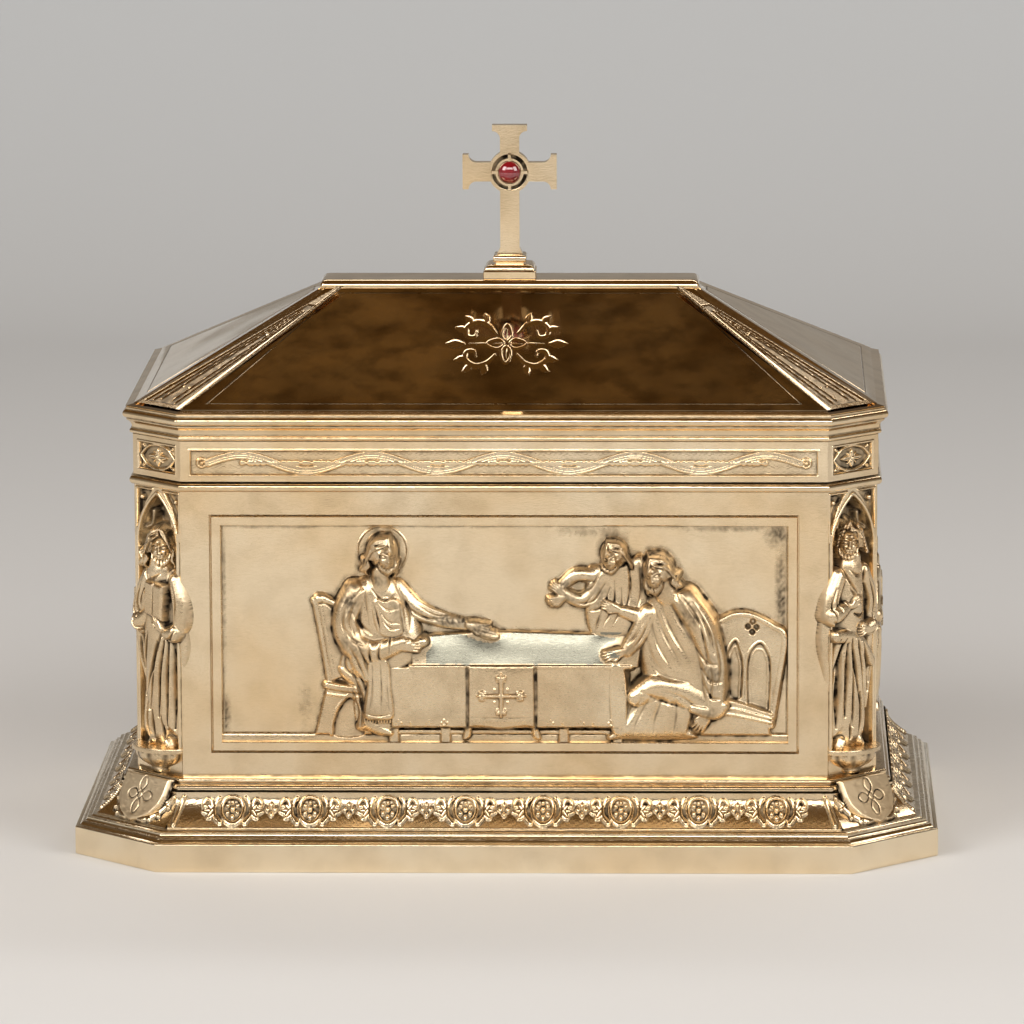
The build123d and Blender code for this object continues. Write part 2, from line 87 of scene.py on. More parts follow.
def stage_sweep():
    """The table and the paper behind it, as one curved sheet."""
    half, front, bend, curve, lift = 2.8, -3.6, 0.75, 0.35, math.radians(54)
    outline = [(front, 0.0), (bend, 0.0)]
    steps = 24
    for i in range(1, steps + 1):
        turn = lift * i / steps
        outline.append((bend + curve * math.sin(turn), curve * (1 - math.cos(turn))))
    mesh = bpy.data.meshes.new("stage_sweep")
    points = [(x, y, z) for y, z in outline for x in (-half, half)]
    mesh.from_pydata(points, [], [(2 * i, 2 * i + 1, 2 * i + 3, 2 * i + 2) for i in range(len(outline) - 1)])
    mesh.polygons.foreach_set("use_smooth", [True] * len(mesh.polygons))
    sheet = bpy.data.objects.new("stage_sweep", mesh)
    bpy.context.scene.collection.objects.link(sheet)
    material, nodes, links = shader("paper")
    place = nodes.new("ShaderNodeNewGeometry")
    split = nodes.new("ShaderNodeSeparateXYZ")
    links.new(place.outputs["Position"], split.inputs[0])
    depth = spread(nodes, links, split.outputs["Y"], 0.1, 1.3)
    paper = nodes["Principled BSDF"]
    links.new(mixed(nodes, links, depth, TABLE_COLOUR, PAPER_COLOUR), paper.inputs["Base Color"])
    paper.inputs["Roughness"].default_value = 0.9
    paper.inputs["Specular IOR Level"].default_value = 0.1
    mesh.materials.append(material)


def soft_light(name, place, aim, size, watts):
    """A rectangular softbox that points at aim."""
    lamp = bpy.data.lights.new(name, "AREA")
    lamp.shape = "RECTANGLE"
    lamp.size, lamp.size_y = size
    lamp.energy = watts
    lamp.color = LAMP_COLOUR
    box = bpy.data.objects.new(name, lamp)
    box.location = place
    box.rotation_euler = (Vector(aim) - Vector(place)).to_track_quat("-Z", "Y").to_euler()
    bpy.context.scene.collection.objects.link(box)


def room():
    """The studio round the set: pale at eye level, dark and dappled overhead."""
    world = bpy.data.worlds.new("studio")
    bpy.context.scene.world = world
    world.use_nodes = True
    nodes, links = world.node_tree.nodes, world.node_tree.links
    way = nodes.new("ShaderNodeTexCoord")
    split = nodes.new("ShaderNodeSeparateXYZ")
    links.new(way.outputs["Generated"], split.inputs[0])
    rise = split.outputs["Z"]
    even = mixed(nodes, links, spread(nodes, links, rise, 0.10, 0.55), HORIZON_COLOUR, CEILING_COLOUR)
    squat = nodes.new("ShaderNodeMapping")
    squat.inputs["Scale"].default_value = (1, 1, 2.0)
    links.new(way.outputs["Generated"], squat.inputs[0])
    blotch = nodes.new("ShaderNodeTexNoise")
    blotch.inputs["Scale"].default_value = 105
    blotch.inputs["Detail"].default_value = 3
    blotch.inputs["Distortion"].default_value = 1.4
    links.new(squat.outputs[0], blotch.inputs["Vector"])
    dapple = spread(nodes, links, blotch.outputs["Fac"], 0.42, 0.60)
    ceiling = mixed(nodes, links, dapple, CEILING_DARK, CEILING_WARM)
    overhead = spread(nodes, links, rise, 0.45, 0.6)
    links.new(mixed(nodes, links, overhead, even, ceiling), nodes["Background"].inputs["Color"])
    nodes["Background"].inputs["Strength"].default_value = 0.85


def eye():
    """The camera: a long lens a little to the right of the middle, looking slightly down."""
    place, look = (0.0546, -1.7345, 0.3715), (-0.0309, 0.98496, -0.16999)
    focal_length, roll = 261.6, -0.0042
    forward = Vector(look).normalized()
    level = forward.cross(Vector((0, 0, 1))).normalized()
    over = level.cross(forward)
    right = level * math.cos(roll) + over * math.sin(roll)
    up = over * math.cos(roll) - level * math.sin(roll)
    lens = bpy.data.cameras.new("camera")
    lens.sensor_width = 36
    lens.lens = focal_length
    lens.clip_end = 20
    holder = bpy.data.objects.new("camera", lens)
    turn = Matrix((right, up, -forward)).transposed().to_4x4()
    holder.matrix_world = Matrix.Translation(place) @ turn
    bpy.context.scene.collection.objects.link(holder)
    bpy.context.scene.camera = holder


bpy.context.scene.view_settings.view_transform = "Standard"
stage_sweep()
room()
eye()
soft_light("left_softbox", (-1.1, -1.0, 0.95), (0, 0, 0.05), (0.9, 0.9), 15.5)
soft_light("right_softbox", (1.1, -0.9, 0.85), (0, 0, 0.06), (0.9, 0.9), 12)
soft_light("front_softbox", (0.0, -1.5, 0.95), (0, -0.1, 0.0), (1.4, 0.5), 11)
soft_light("rear_softbox", (0.2, 1.0, 1.19), (0, 0, 0.12), (1.6, 0.24), 6)

# ---- Foot plinth ----
# A cast and planed silver-gilt band, eight-sided, with two small fillets at its top. It is one
# piece; the base plate is screwed up into it from below.
GILT = (0.885, 0.725, 0.50)
GILT_WARM = (0.85, 0.64, 0.385)
# The dark brown below stands for patina and for painted shade alike.
TARNISH_AND_SHADE = (0.030, 0.022, 0.016)
BARE_SILVER = (0.27, 0.28, 0.235)

plinth_low, plinth_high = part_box("foot_plinth")
HALF_WIDTH = plinth_high.x / MM
HALF_DEPTH = plinth_high.y / MM
front_edge = [v.co.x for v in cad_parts["foot_plinth"].data.vertices if v.co.y < plinth_low.y + 1e-6]
CORNER_LEG = HALF_WIDTH - max(front_edge) / MM
SIDE_NAMES = ("front", "front_right", "right", "back_right", "back", "back_left", "left", "front_left")
MAIN_SIDES = (0, 2, 4, 6)
CORNER_SIDES = (1, 3, 5, 7)


def level(node, end=0):
    """A CAD node's lowest (0) or highest (1) level, in millimetres."""
    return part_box(node)[end].z / MM


def octagon(a, b, c):
    """The corners of a rectangle, half a wide and half b deep, with its corners cut back by c."""
    return [(-a + c, -b), (a - c, -b), (a, -b + c), (a, b - c), (a - c, b), (-a + c, b), (-a, b - c),
            (-a, -b + c)]


def plan(inset):
    """Eight plan corners of the casket's outline moved in by inset, in millimetres."""
    leg = CORNER_LEG - inset * (2 - math.sqrt(2))
    return octagon(HALF_WIDTH - inset, HALF_DEPTH - inset, leg)


def side_length(side, inset):
    """The length of one side of an outline, in millimetres."""
    return math.dist(plan(inset)[side], plan(inset)[(side + 1) % 8])


def side_frame(side):
    """The middle of one side of the foot's outline, the way along it and the way out of it."""
    (x0, y0), (x1, y1) = plan(0)[side], plan(0)[(side + 1) % 8]
    along = np.array((x1 - x0, y1 - y0, 0)) / math.dist((x0, y0), (x1, y1))
    return np.array(((x0 + x1) / 2, (y0 + y1) / 2, 0)), along, np.array((along[1], -along[0], 0))


def on_side(side, u, z, inset):
    """Points in millimetres from their place along a side, their height and their inset."""
    middle, along, outward = side_frame(side)
    u, z, inset = np.broadcast_arrays(np.asarray(u, float), np.asarray(z, float), np.asarray(inset, float))
    points = middle + u[..., None] * along - inset[..., None] * outward
    points[..., 2] = z
    return points


def clouds(nodes, links, scale, detail=3.0, stretch=(1, 1, 1)):
    """Soft noise over the object, in its own space, with so many patches to the metre."""
    place = nodes.new("ShaderNodeTexCoord")
    size = nodes.new("ShaderNodeMapping")
    size.inputs["Scale"].default_value = stretch
    noise = nodes.new("ShaderNodeTexNoise")
    noise.inputs["Scale"].default_value = scale
    noise.inputs["Detail"].default_value = detail
    links.new(place.outputs["Object"], size.inputs[0])
    links.new(size.outputs[0], noise.inputs["Vector"])
    return noise.outputs["Fac"]


def bumped(nodes, links, height, strength, distance, under=None):
    """A bump from a height, laid over the one under it."""
    node = nodes.new("ShaderNodeBump")
    node.inputs["Strength"].default_value = strength
    node.inputs["Distance"].default_value = distance
    links.new(height, node.inputs["Height"])
    if under:
        links.new(under, node.inputs["Normal"])
    return node.outputs[0]


def silver_gilt(name, rough=0.2, colour=GILT, warm=GILT_WARM, stain=0.0, wave=0.0, scratch=0.06, pitted=0.0):
    """Gilded silver: warm and cool patches, hairlines, dull where polish can't reach, and dark with patina
    and painted shade.

    The mesh's own per-point dark values say where it is dark, as patina in its lines and hollows and as
    painted shade in its recesses, grooves and steep walls, and below 0 where the gilding is worn.
    stain adds loose brown patches, wave is the slow unevenness of hand-burnished sheet, and
    pitted is the sandy skin of a casting.
    """
    material, nodes, links = shader(name)
    gilt = nodes["Principled BSDF"]
    gilt.inputs["Metallic"].default_value = 1.0
    patches = spread(nodes, links, clouds(nodes, links, 38, 4), 0.38, 0.66)
    tone = mixed(nodes, links, patches, colour, warm)
    breath = spread(nodes, links, clouds(nodes, links, 150, 5), 0.45, 0.8, 0.0, 0.35 + stain)
    tone = mixed(nodes, links, breath, tone, tuple(0.62 * c for c in warm))
    dark = nodes.new("ShaderNodeAttribute")
    dark.attribute_name = "tarnish_and_shade"
    uneven = nodes.new("ShaderNodeMath")
    uneven.operation = "MULTIPLY"
    links.new(dark.outputs["Fac"], uneven.inputs[0])
    links.new(spread(nodes, links, clouds(nodes, links, 420, 3), 0.3, 0.62, 0.42, 1.12), uneven.inputs[1])
    grime_and_shade = spread(nodes, links, uneven.outputs[0], 0.08, 0.95)
    tone = mixed(nodes, links, spread(nodes, links, dark.outputs["Fac"], -0.05, -1.0), tone, BARE_SILVER)
    # Patina and painted shade: the colour goes dark brown where the per-point values say.
    links.new(mixed(nodes, links, grime_and_shade, tone, TARNISH_AND_SHADE), gilt.inputs["Base Color"])
    hair = clouds(nodes, links, 900, 2, (1, 1, 9))
    dull = nodes.new("ShaderNodeMath")
    dull.operation = "MULTIPLY_ADD"
    links.new(grime_and_shade, dull.inputs[0])
    dull.inputs[1].default_value = 0.38
    links.new(spread(nodes, links, hair, 0.35, 0.7, rough * 0.8, rough * 1.35), dull.inputs[2])
    links.new(dull.outputs[0], gilt.inputs["Roughness"])
    surface = bumped(nodes, links, hair, scratch, 0.0002)
    for amount, scale, depth in ((wave, 24, 0.004), (pitted, 1400, 0.0002)):
        if amount:
            surface = bumped(nodes, links, clouds(nodes, links, scale, 2), amount, depth, surface)
    links.new(surface, gilt.inputs["Normal"])
    return material


def darken(mesh, values):
    """Write how dark each point of a mesh is."""
    layer = mesh.attributes.new("tarnish_and_shade", "FLOAT", "POINT")
    layer.data.foreach_set("value", np.asarray(values, np.float32).ravel())


def build(name, points, faces, material, tarnish_and_shade=None, sharp_angle=None):
    """A mesh object from points in millimetres, with its dark places, ready to ride."""
    mesh = bpy.data.meshes.new(name)
    mesh.from_pydata((np.asarray(points, float) * MM).tolist(), [], faces)
    mesh.validate()
    if tarnish_and_shade is not None:
        darken(mesh, tarnish_and_shade)
    mesh.polygons.foreach_set("use_smooth", [True] * len(mesh.polygons))
    if sharp_angle is not None:
        mesh.set_sharp_from_angle(angle=math.radians(sharp_angle))
    mesh.materials.append(material)
    piece = bpy.data.objects.new(name, mesh)
    bpy.context.scene.collection.objects.link(piece)
    return piece


def rounded(start, *steps, arc_points=9):
    """A section's outline in (inset, z): a point is a straight, (middle, end) an arc."""
    outline = [start]
    for step in steps:
        if not isinstance(step[0], tuple):
            outline.append(step)
            continue
        (x0, y0), (x1, y1), (x2, y2) = outline[-1], step[0], step[1]
        d = 2 * (x0 * (y1 - y2) + x1 * (y2 - y0) + x2 * (y0 - y1))
        cx = sum(p * p * q for p, q in ((x0, y1 - y2), (x1, y2 - y0), (x2, y0 - y1)))
        cx = (cx + y0 * y0 * (y1 - y2) + y1 * y1 * (y2 - y0) + y2 * y2 * (y0 - y1)) / d
        cy = sum((p * p + q * q) * r for p, q,
                 r in ((x0, y0, x2 - x1), (x1, y1, x0 - x2), (x2, y2, x1 - x0))) / d
        radius, a0 = math.dist((x0, y0), (cx, cy)), math.atan2(y0 - cy, x0 - cx)
        through, sweep = [(math.atan2(y - cy, x - cx) - a0) % (2 * math.pi) for x, y in ((x1, y1), (x2, y2))]
        if through > sweep:
            sweep -= 2 * math.pi
        for i in range(1, arc_points + 1):
            turn = a0 + sweep * i / arc_points
            outline.append((cx + radius * math.cos(turn), cy + radius * math.sin(turn)))
    return outline


def moulding(name, outline, material, dark=None, edge=0.12):
    """An eight-sided ring swept from a closed section, its long edges and mitres eased."""
    count = len(outline)
    points = [(x, y, z) for inset, z in outline for x, y in plan(inset)]
    faces = [(8 * i + j, 8 * i + (j + 1) % 8, 8 * ((i + 1) % count) + (j + 1) % 8, 8 * ((i + 1) % count) + j)
             for i in range(count) for j in range(8)]
    piece = build(name, points, faces, material)
    ease = piece.modifiers.new("eased", "BEVEL")
    ease.width = edge * MM
    ease.segments = 2
    ease.limit_method = "ANGLE"
    ease.angle_limit = math.radians(24)
    ease.harden_normals = True
    with bpy.context.temp_override(object=piece, active_object=piece):
        bpy.ops.object.modifier_apply(modifier="eased")
    # Patina and painted shade: bands darkened at given heights, in the grooves and where the moulding meets
    # the next piece.
    if dark:
        mesh = piece.data
        spots = np.empty(len(mesh.vertices) * 3)
        mesh.vertices.foreach_get("co", spots)
        z = spots.reshape(-1, 3)[:, 2] / MM
        value = sum(amount * np.exp(-((z - at) / width) ** 2) for at, width, amount in dark)
        darken(mesh, np.clip(value, 0, 1))
    return piece


def stands_for(piece, body, slot, *nodes):
    """A visible piece that takes the place of CAD nodes on one body."""
    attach(piece, body)
    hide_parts(*nodes)


polished = silver_gilt("polished_gilt", rough=0.16, scratch=0.05, wave=0.04)
plinth_gilt = silver_gilt("plinth_gilt", rough=0.17, colour=(0.95, 0.82, 0.61), warm=(0.92, 0.75, 0.51),
                          scratch=0.05, wave=0.04)
plinth_top = level("foot_plinth", 1)
FOOT_INNER = 20.0
BASE_MARGIN = 12.0
LEDGE = 2.5
plinth = moulding("plinth", rounded(
    (0.25, 0), (0, 0.25), (0, 6.25), ((0.12, 6.55), (0.45, 6.65)),
    ((1.15, 6.95), (1.7, 7.6)), (1.95, 7.75), ((2.6, 8.0), (2.75, 8.55)), (3.0, 8.65),
    ((3.6, 8.75), (4.0, plinth_top)), (FOOT_INNER, plinth_top), (FOOT_INNER, LEDGE), (BASE_MARGIN, LEDGE),
    (BASE_MARGIN, 0)), plinth_gilt, dark=((7.7, 0.14, 0.45), (8.6, 0.12, 0.5), (plinth_top, 0.15, 0.5)))
stands_for(plinth, "casket", "polished_gilt", "foot_plinth")

# ---- Raised ornament round the foot ----
# Four cast lengths of a hollow moulding, chased with ringed rosettes, leaf scrolls and lozenges
# that stand up bright from a darker, stippled ground. They are soldered on the plinth, mitred.


def course(points, *values, per_span=6, closed=False):
    """A smooth line through points, and the values that go with it."""
    points = np.asarray(points, float)
    count = len(points)
    table = [points] + [np.broadcast_to(np.asarray(v, float), (count,))[:, None] for v in values]
    table = np.hstack(table)
    if closed:
        table = np.vstack([table[-1:], table, table[:2]])
    else:
        table = np.vstack([2 * table[0] - table[1], table, 2 * table[-1] - table[-2]])
    out = []
    for i in range(1, len(table) - 2):
        a, b, c, d = table[i - 1:i + 3]
        t = np.arange(per_span)[:, None] / per_span
        out.append(0.5 * (2 * b + (c - a) * t + (2 * a - 5 * b + 4 * c - d) * t ** 2
                          + (3 * b - a - 3 * c + d) * t ** 3))
    if not closed:
        out.append(table[-2:-1])
    line = np.vstack(out)
    return line[:, :2], *[np.maximum(line[:, 2 + i], 1e-3 if i == 0 else -99) for i in range(len(values))]


def joined(points, *values, per_span, closed):
    """A course whose last point is its first again where it is closed."""
    parts = course(points, *values, per_span=per_span, closed=closed)
    return [np.append(a, a[:1], 0) for a in parts] if closed else parts


def blurred(field, cells):
    """The field softened over so many cells."""
    reach = int(math.ceil(2.5 * cells))
    weights = np.exp(-0.5 * (np.arange(-reach, reach + 1) / cells) ** 2)
    weights /= weights.sum()
    for axis in (0, 1):
        padding = [(reach, reach) if a == axis else (0, 0) for a in (0, 1)]
        wide = np.pad(field, padding, mode="edge")
        size = field.shape[axis]
        field = sum(w * (wide[k:k + size] if axis == 0 else wide[:, k:k + size]) for k,
                    w in enumerate(weights))
    return field


def nearest(x, y, dx, dy):
    """How far along a straight the nearest spot to each point lies (0 to 1), and how far off."""
    t = np.clip((x * dx + y * dy) / (dx * dx + dy * dy + 1e-9), 0, 1)
    return t, np.hypot(x - t * dx, y - t * dy)


FADE = 5.5
UNDER = -9.0
POLISH_REACH = 0.015
STEEP_SIDES = 12


class Chasing:
    """Modelled metal: heights in millimetres over a flat patch (u across, v up)."""

    def __init__(self, u_range, v_range, step, ground=0.0, drop=3.0):
        self.step = step
        self.drop = drop
        self.u = np.linspace(*u_range, max(2, int(round((u_range[1] - u_range[0]) / step)) + 1))
        self.v = np.linspace(*v_range, max(2, int(round((v_range[1] - v_range[0]) / step)) + 1))
        self.U, self.V = np.meshgrid(self.u, self.v)
        self.h = np.full(self.U.shape, float(ground))
        self.stain = np.zeros(self.U.shape)

    def around(self, path, reach):
        """The part of the patch within reach of a path."""
        low, high = path.min(0) - reach, path.max(0) + reach
        rows = slice(*np.searchsorted(self.v, (low[1], high[1])))
        return rows, slice(*np.searchsorted(self.u, (low[0], high[0])))

    def join(self, box, surface, blend):
        """Lay a surface over what is there, filleting where they meet."""
        here = self.h[box]
        mix = np.clip(0.5 + 0.5 * (surface - here) / max(blend, 1e-6), 0, 1)
        self.h[box] = here * (1 - mix) + surface * mix + blend * mix * (1 - mix)

    def stroke(self, points, radius, rise, lift=0.0, blend=0.12, flat=2.0, closed=False, per_span=5):
        """A rounded, tapering bar of metal along a smooth line."""
        path, radius, rise, lift = joined(points, radius, rise, lift, per_span=per_span, closed=closed)
        box = self.around(path, radius.max() + FADE / self.drop)
        U, V = self.U[box], self.V[box]
        if not U.size:
            return
        top = np.full(U.shape, UNDER)
        for k in range(len(path) - 1):
            (ax, ay), (dx, dy) = path[k], path[k + 1] - path[k]
            t, away = nearest(U - ax, V - ay, dx, dy)
            r = radius[k] + t * (radius[k + 1] - radius[k])
            crest = rise[k] + t * (rise[k + 1] - rise[k])
            base = lift[k] + t * (lift[k + 1] - lift[k])
            share = np.minimum(away / r, 1)
            bar = base + crest * np.sqrt(np.maximum(0, 1 - share ** flat)) - self.drop * np.maximum(0,
                                                                                                    away - r)
            top = np.maximum(top, bar)
        self.join(box, top, blend)

    def inside(self, box, outline):
        """How far each point lies inside a closed outline; negative outside."""
        U, V = self.U[box], self.V[box]
        away = np.full(U.shape, 1e9)
        odd = np.zeros(U.shape, bool)
        for (ax, ay), (bx, by) in zip(outline, np.roll(outline, -1, 0)):
            dx, dy = bx - ax, by - ay
            away = np.minimum(away, nearest(U - ax, V - ay, dx, dy)[1])
            if dy:
                odd ^= ((ay > V) != (by > V)) & (U < dx * (V - ay) / dy + ax)
        return np.where(odd, away, -away)

    def pad(self, outline, rise, lift=0.0, edge=1.0, blend=0.12, smooth=True):
        """A raised shape with a rounded edge."""
        outline = course(outline, closed=True, per_span=5)[0] if smooth else np.asarray(outline, float)
        box = self.around(outline, FADE / self.drop)
        depth = self.inside(box, outline)
        shoulder = np.clip(depth / edge, 0, 1)
        top = lift + rise * np.sqrt(1 - (1 - shoulder) ** 2) + self.drop * np.minimum(depth, 0)
        self.join(box, top, blend)

    def dome(self, centre, half_u, half_v, rise, lift=0.0, turn=0.0, blend=0.12, flat=2.0):
        """A rounded boss, turned by so many degrees."""
        reach = max(half_u, half_v) + FADE / self.drop
        box = self.around(np.array([centre]), reach)
        c, s = math.cos(math.radians(turn)), math.sin(math.radians(turn))
        x, y = self.U[box] - centre[0], self.V[box] - centre[1]
        share = (np.abs((x * c + y * s) / half_u) ** flat + np.abs((y * c - x * s) / half_v) ** flat)
        past = np.maximum(0, share ** (1 / flat) - 1) * min(half_u, half_v)
        top = lift + rise * np.sqrt(np.maximum(0, 1 - share)) - self.drop * past
        self.join(box, top, blend)

    def press(self, points, width, depth, closed=False, per_span=5, stain=0.0):
        """A soft line pressed in (depth > 0) or pushed up (depth < 0), fading at its ends."""
        path, width, depth = joined(points, width, depth, per_span=per_span, closed=closed)
        box = self.around(path, 3 * width.max())
        U, V = self.U[box], self.V[box]
        if not U.size:
            return
        best = np.full(U.shape, 1e9)
        amount = np.zeros(U.shape)
        for k in range(len(path) - 1):
            (ax, ay), (dx, dy) = path[k], path[k + 1] - path[k]
            t, away = nearest(U - ax, V - ay, dx, dy)
            w = width[k] + t * (width[k + 1] - width[k])
            closer = away / w < best
            best = np.where(closer, away / w, best)
            amount = np.where(closer, depth[k] + t * (depth[k + 1] - depth[k]), amount)
        mark = np.exp(-best ** 2)
        self.h[box] -= amount * mark
        if stain:
            self.stain[box] = np.maximum(self.stain[box], stain * mark)

    def shade(self, fine=0.28, broad=0.9, fine_gain=9.0, broad_gain=1.1, steep=0.0):
        """How dark it lies: patina in lines and hollows, painted shade in broad hollows and on the ground
        beside raised forms, and patina with painted shade on walls too steep to polish.
        """
        narrow = np.clip((blurred(self.h, fine / self.step) - self.h - POLISH_REACH) * fine_gain, 0, 1)
        # Painted shade as well as patina: the wide pass darkens broad hollows and the ground beside raised
        # forms.
        wide = np.clip((blurred(self.h, broad / self.step) - self.h - 2 * POLISH_REACH) * broad_gain, 0, 1)
        slope = np.hypot(*np.gradient(self.h, self.step))
        # Painted shade as well as patina: steep walls are darkened.
        walls = steep * np.clip((slope - 0.8) / 1.6, 0, 1)
        return np.clip(0.85 * narrow + 0.75 * wide + walls + self.stain, 0, 1)


def grid_faces(cell):
    """Quads over a grid of point numbers."""
    return np.stack([cell[:-1, :-1], cell[:-1, 1:], cell[1:, 1:], cell[1:, :-1]], -1).reshape(-1, 4)


def sheet_piece(name, work, place, material, shade=None, floor=None, back=None, span=None):
    """A chased patch as a mesh. floor drops what lies below it; back closes the patch behind
    at that height; span keeps only the columns between two values of u."""
    points = place(work.U, work.V, work.h)
    lean = np.cross(np.gradient(points, axis=1), np.gradient(points, axis=0))
    lean /= np.linalg.norm(lean, axis=2, keepdims=True) + 1e-12
    dark = work.shade() if shade is None else shade
    first, last = (0, len(work.u)) if span is None else np.searchsorted(work.u, span)
    keep = slice(first, min(last + 1, len(work.u)))
    height = work.h[:, keep]
    points, lean, dark = points[:, keep].reshape(-1, 3), lean[:, keep].reshape(-1, 3), dark[:, keep].ravel()
    cell = np.arange(height.size).reshape(height.shape)
    quads = grid_faces(cell)
    if floor is not None:
        quads = quads[(height.ravel()[quads] > floor).any(1)]
    used, quads = np.unique(quads, return_inverse=True)
    faces = quads.reshape(-1, 4).tolist()
    points, lean, dark = points[used], lean[used], dark[used]
    if back is not None:
        rim = np.concatenate([cell[0, :-1], cell[:-1, -1], cell[-1, :0:-1], cell[:0:-1, 0]])
        behind = place(work.U, work.V, np.full(work.h.shape, back)).reshape(-1, 3)[rim]
        count, top = len(rim), len(points)
        middle = points.mean(0)
        away = points[rim] - middle
        away /= np.linalg.norm(away, axis=1, keepdims=True)
        inward = np.tile(-lean.mean(0), (count, 1))
        faces += [(top + i, top + count + i, top + count + (i + 1) % count, top + (i + 1) % count)
                  for i in range(count)]
        faces.append([top + 2 * count + i for i in reversed(range(count))])
        points = np.vstack([points, points[rim], behind, behind])
        lean = np.vstack([lean, away, away, inward])
        dark = np.concatenate([dark, dark[rim], np.zeros(2 * count)])
    piece = build(name, points, faces, material, dark)
    piece.data.normals_split_custom_set_from_vertices(lean.tolist())
    return piece


chased = silver_gilt("chased_gilt", rough=0.2, scratch=0.05, pitted=0.05, wave=0.05)
cast = silver_gilt("cast_gilt", rough=0.28, colour=(0.84, 0.68, 0.46), warm=(0.76, 0.57, 0.35),
                   stain=0.25, scratch=0.05,
                   pitted=0.04)
COVE_FOOT, COVE_NECK = 5.0, 10.5
COVE_LIP, COVE_BORDERS, COVE_CURVE = 0.3, 1.4, 1.7
UNIT_LENGTH, END_BAR = 18.5, 2.5
cove_low, cove_high = level("foot_cove_front", 0), level("foot_cove_front", 1)
cove_height = cove_high - cove_low


def cove_place(side):
    """Where a point of the ornament lies on the hollow: v runs up it and h stands out of it."""
    def place(u, v, h):
        tall = cove_height - COVE_BORDERS
        rise = np.clip((v - COVE_LIP) / tall, 0, 1)
        inset = COVE_FOOT + (COVE_NECK - COVE_FOOT) * (1 - (1 - rise) ** COVE_CURVE)
        slope = (COVE_NECK - COVE_FOOT) * COVE_CURVE * (1 - rise) ** (COVE_CURVE - 1) / tall
        length = np.sqrt(1 + slope ** 2)
        return on_side(side, u, cove_low + v + h * slope / length, inset - h / length)
    return place


def circle(u, v, radius, count=8, tall=None):
    """Points round a spot; tall is the other half axis of an oval."""
    tall = radius if tall is None else tall
    return [(u + radius * math.cos(a), v + tall * math.sin(a))
            for a in np.arange(count) * math.pi / (count / 2)]


def ripple(U, V, along, sway, across):
    """A wandering pattern between -1 and 1, quick along u and across v, each swayed by the other."""
    return (np.sin(along * U + sway[0] * np.sin(sway[1] * V))
            * np.sin(across[0] * V + across[1] * np.sin(across[2] * U)))


def leaf_spray(work, u, v, size, way):
    """A three-lobed leaf that opens to one side (way = 1 or -1)."""
    for spread_angle, reach in ((0.0, 1.0), (0.85, 0.72), (-0.85, 0.72)):
        tip = (u + way * size * reach * math.cos(spread_angle), v + size * reach * math.sin(spread_angle))
        middle = (0.5 * (u + tip[0]), 0.5 * (v + tip[1]) + 0.10 * size * math.sin(spread_angle))
        work.stroke([(u, v), middle, tip], [0.25 * size, 0.30 * size, 0.08 * size], 0.55, flat=3)
        work.press([(u, v), middle, tip], [0.06 * size, 0.08 * size, 0.05 * size], 0.22)


def cove_ornament(side):
    """One length: rosettes in rings, leaf scrolls between, four-lozenge stops, a bar at each end."""
    half = side_length(side, COVE_NECK) / 2 - 1.6
    work = Chasing((-half - 3.4, half + 3.4), (0.0, cove_height), 0.17)
    mid, tall = 3.75, 2.75
    units = int(round(2 * half / UNIT_LENGTH))
    pitch = (2 * half - 2 * END_BAR) / units
    for i in range(units + 1):
        u = -half + END_BAR + i * pitch
        if 0 < i < units:
            for du, dv in ((0.85, 0), (-0.85, 0), (0, 0.95), (0, -0.95)):
                lozenge = [(u + du + 0.62, mid + dv), (u + du, mid + dv + 0.7), (u + du - 0.62, mid + dv),
                           (u + du, mid + dv - 0.7)]
                work.pad(lozenge, 0.55, edge=0.3, smooth=False)
        if i == units:
            break
        c = u + pitch / 2
        work.stroke(circle(c, mid, 2.6, tall=2.75), 0.5, 0.65, closed=True, flat=3)
        for a in np.arange(6) * math.pi / 3 + math.pi / 6:
            tip = (c + 1.3 * math.cos(a), mid + 1.45 * math.sin(a))
            work.dome(tip, 0.55, 0.48, 0.6, turn=math.degrees(a), blend=0.04)
        work.dome((c, mid), 0.6, 0.6, 0.85, blend=0.04)
        for way in (1, -1):
            stem = [(c + way * 2.9, mid - 2.4), (c + way * 4.1, mid - 1.2), (c + way * 4.4, mid + 0.7),
                    (c + way * 5.5, mid + 2.2), (c + way * 6.6, mid + 1.4), (c + way * 6.4, mid + 0.4)]
            work.stroke(stem, [0.62, 0.55, 0.5, 0.5, 0.42, 0.3], 0.6, flat=3)
            work.dome((c + way * 6.35, mid + 0.55), 0.6, 0.6, 0.75)
            leaf_spray(work, c + way * 4.7, mid - 0.5, 2.3, way)
            work.stroke([(c + way * 3.0, mid + 2.4), (c + way * 3.7, mid + 1.6), (c + way * 3.8, mid + 0.6)],
                        [0.55, 0.45, 0.2], 0.5, flat=3)
    for way in (1, -1):
        foot, top = half + 2.0, half - 0.3
        work.stroke([(way * foot, mid - tall), (way * top, mid + tall)], 0.5, 0.6, flat=3)
    grain = ripple(work.U, work.V, 9.1, (3, 7.3), (8.3, 2.6, 6.1))
    flat_ground = np.clip(1 - work.h / 0.15, 0, 1)
    work.h += 0.025 * grain * flat_ground
    return work, work.shade(fine=0.28, broad=0.8, fine_gain=5.0, broad_gain=1.0)


def fit_to_mitre(points, side):
    """Pull a length's end points back to the mitre planes it shares with its neighbours."""
    middle, along, outward = side_frame(side)
    inset = -((points - middle) @ outward)
    u = (points - middle) @ along
    base, neck = side_length(side, COVE_FOOT) / 2, side_length(side, COVE_NECK) / 2
    limit = base + (neck - base) * (inset - COVE_FOOT) / (COVE_NECK - COVE_FOOT)
    return points + (np.clip(u, -limit, limit) - u)[..., None] * along


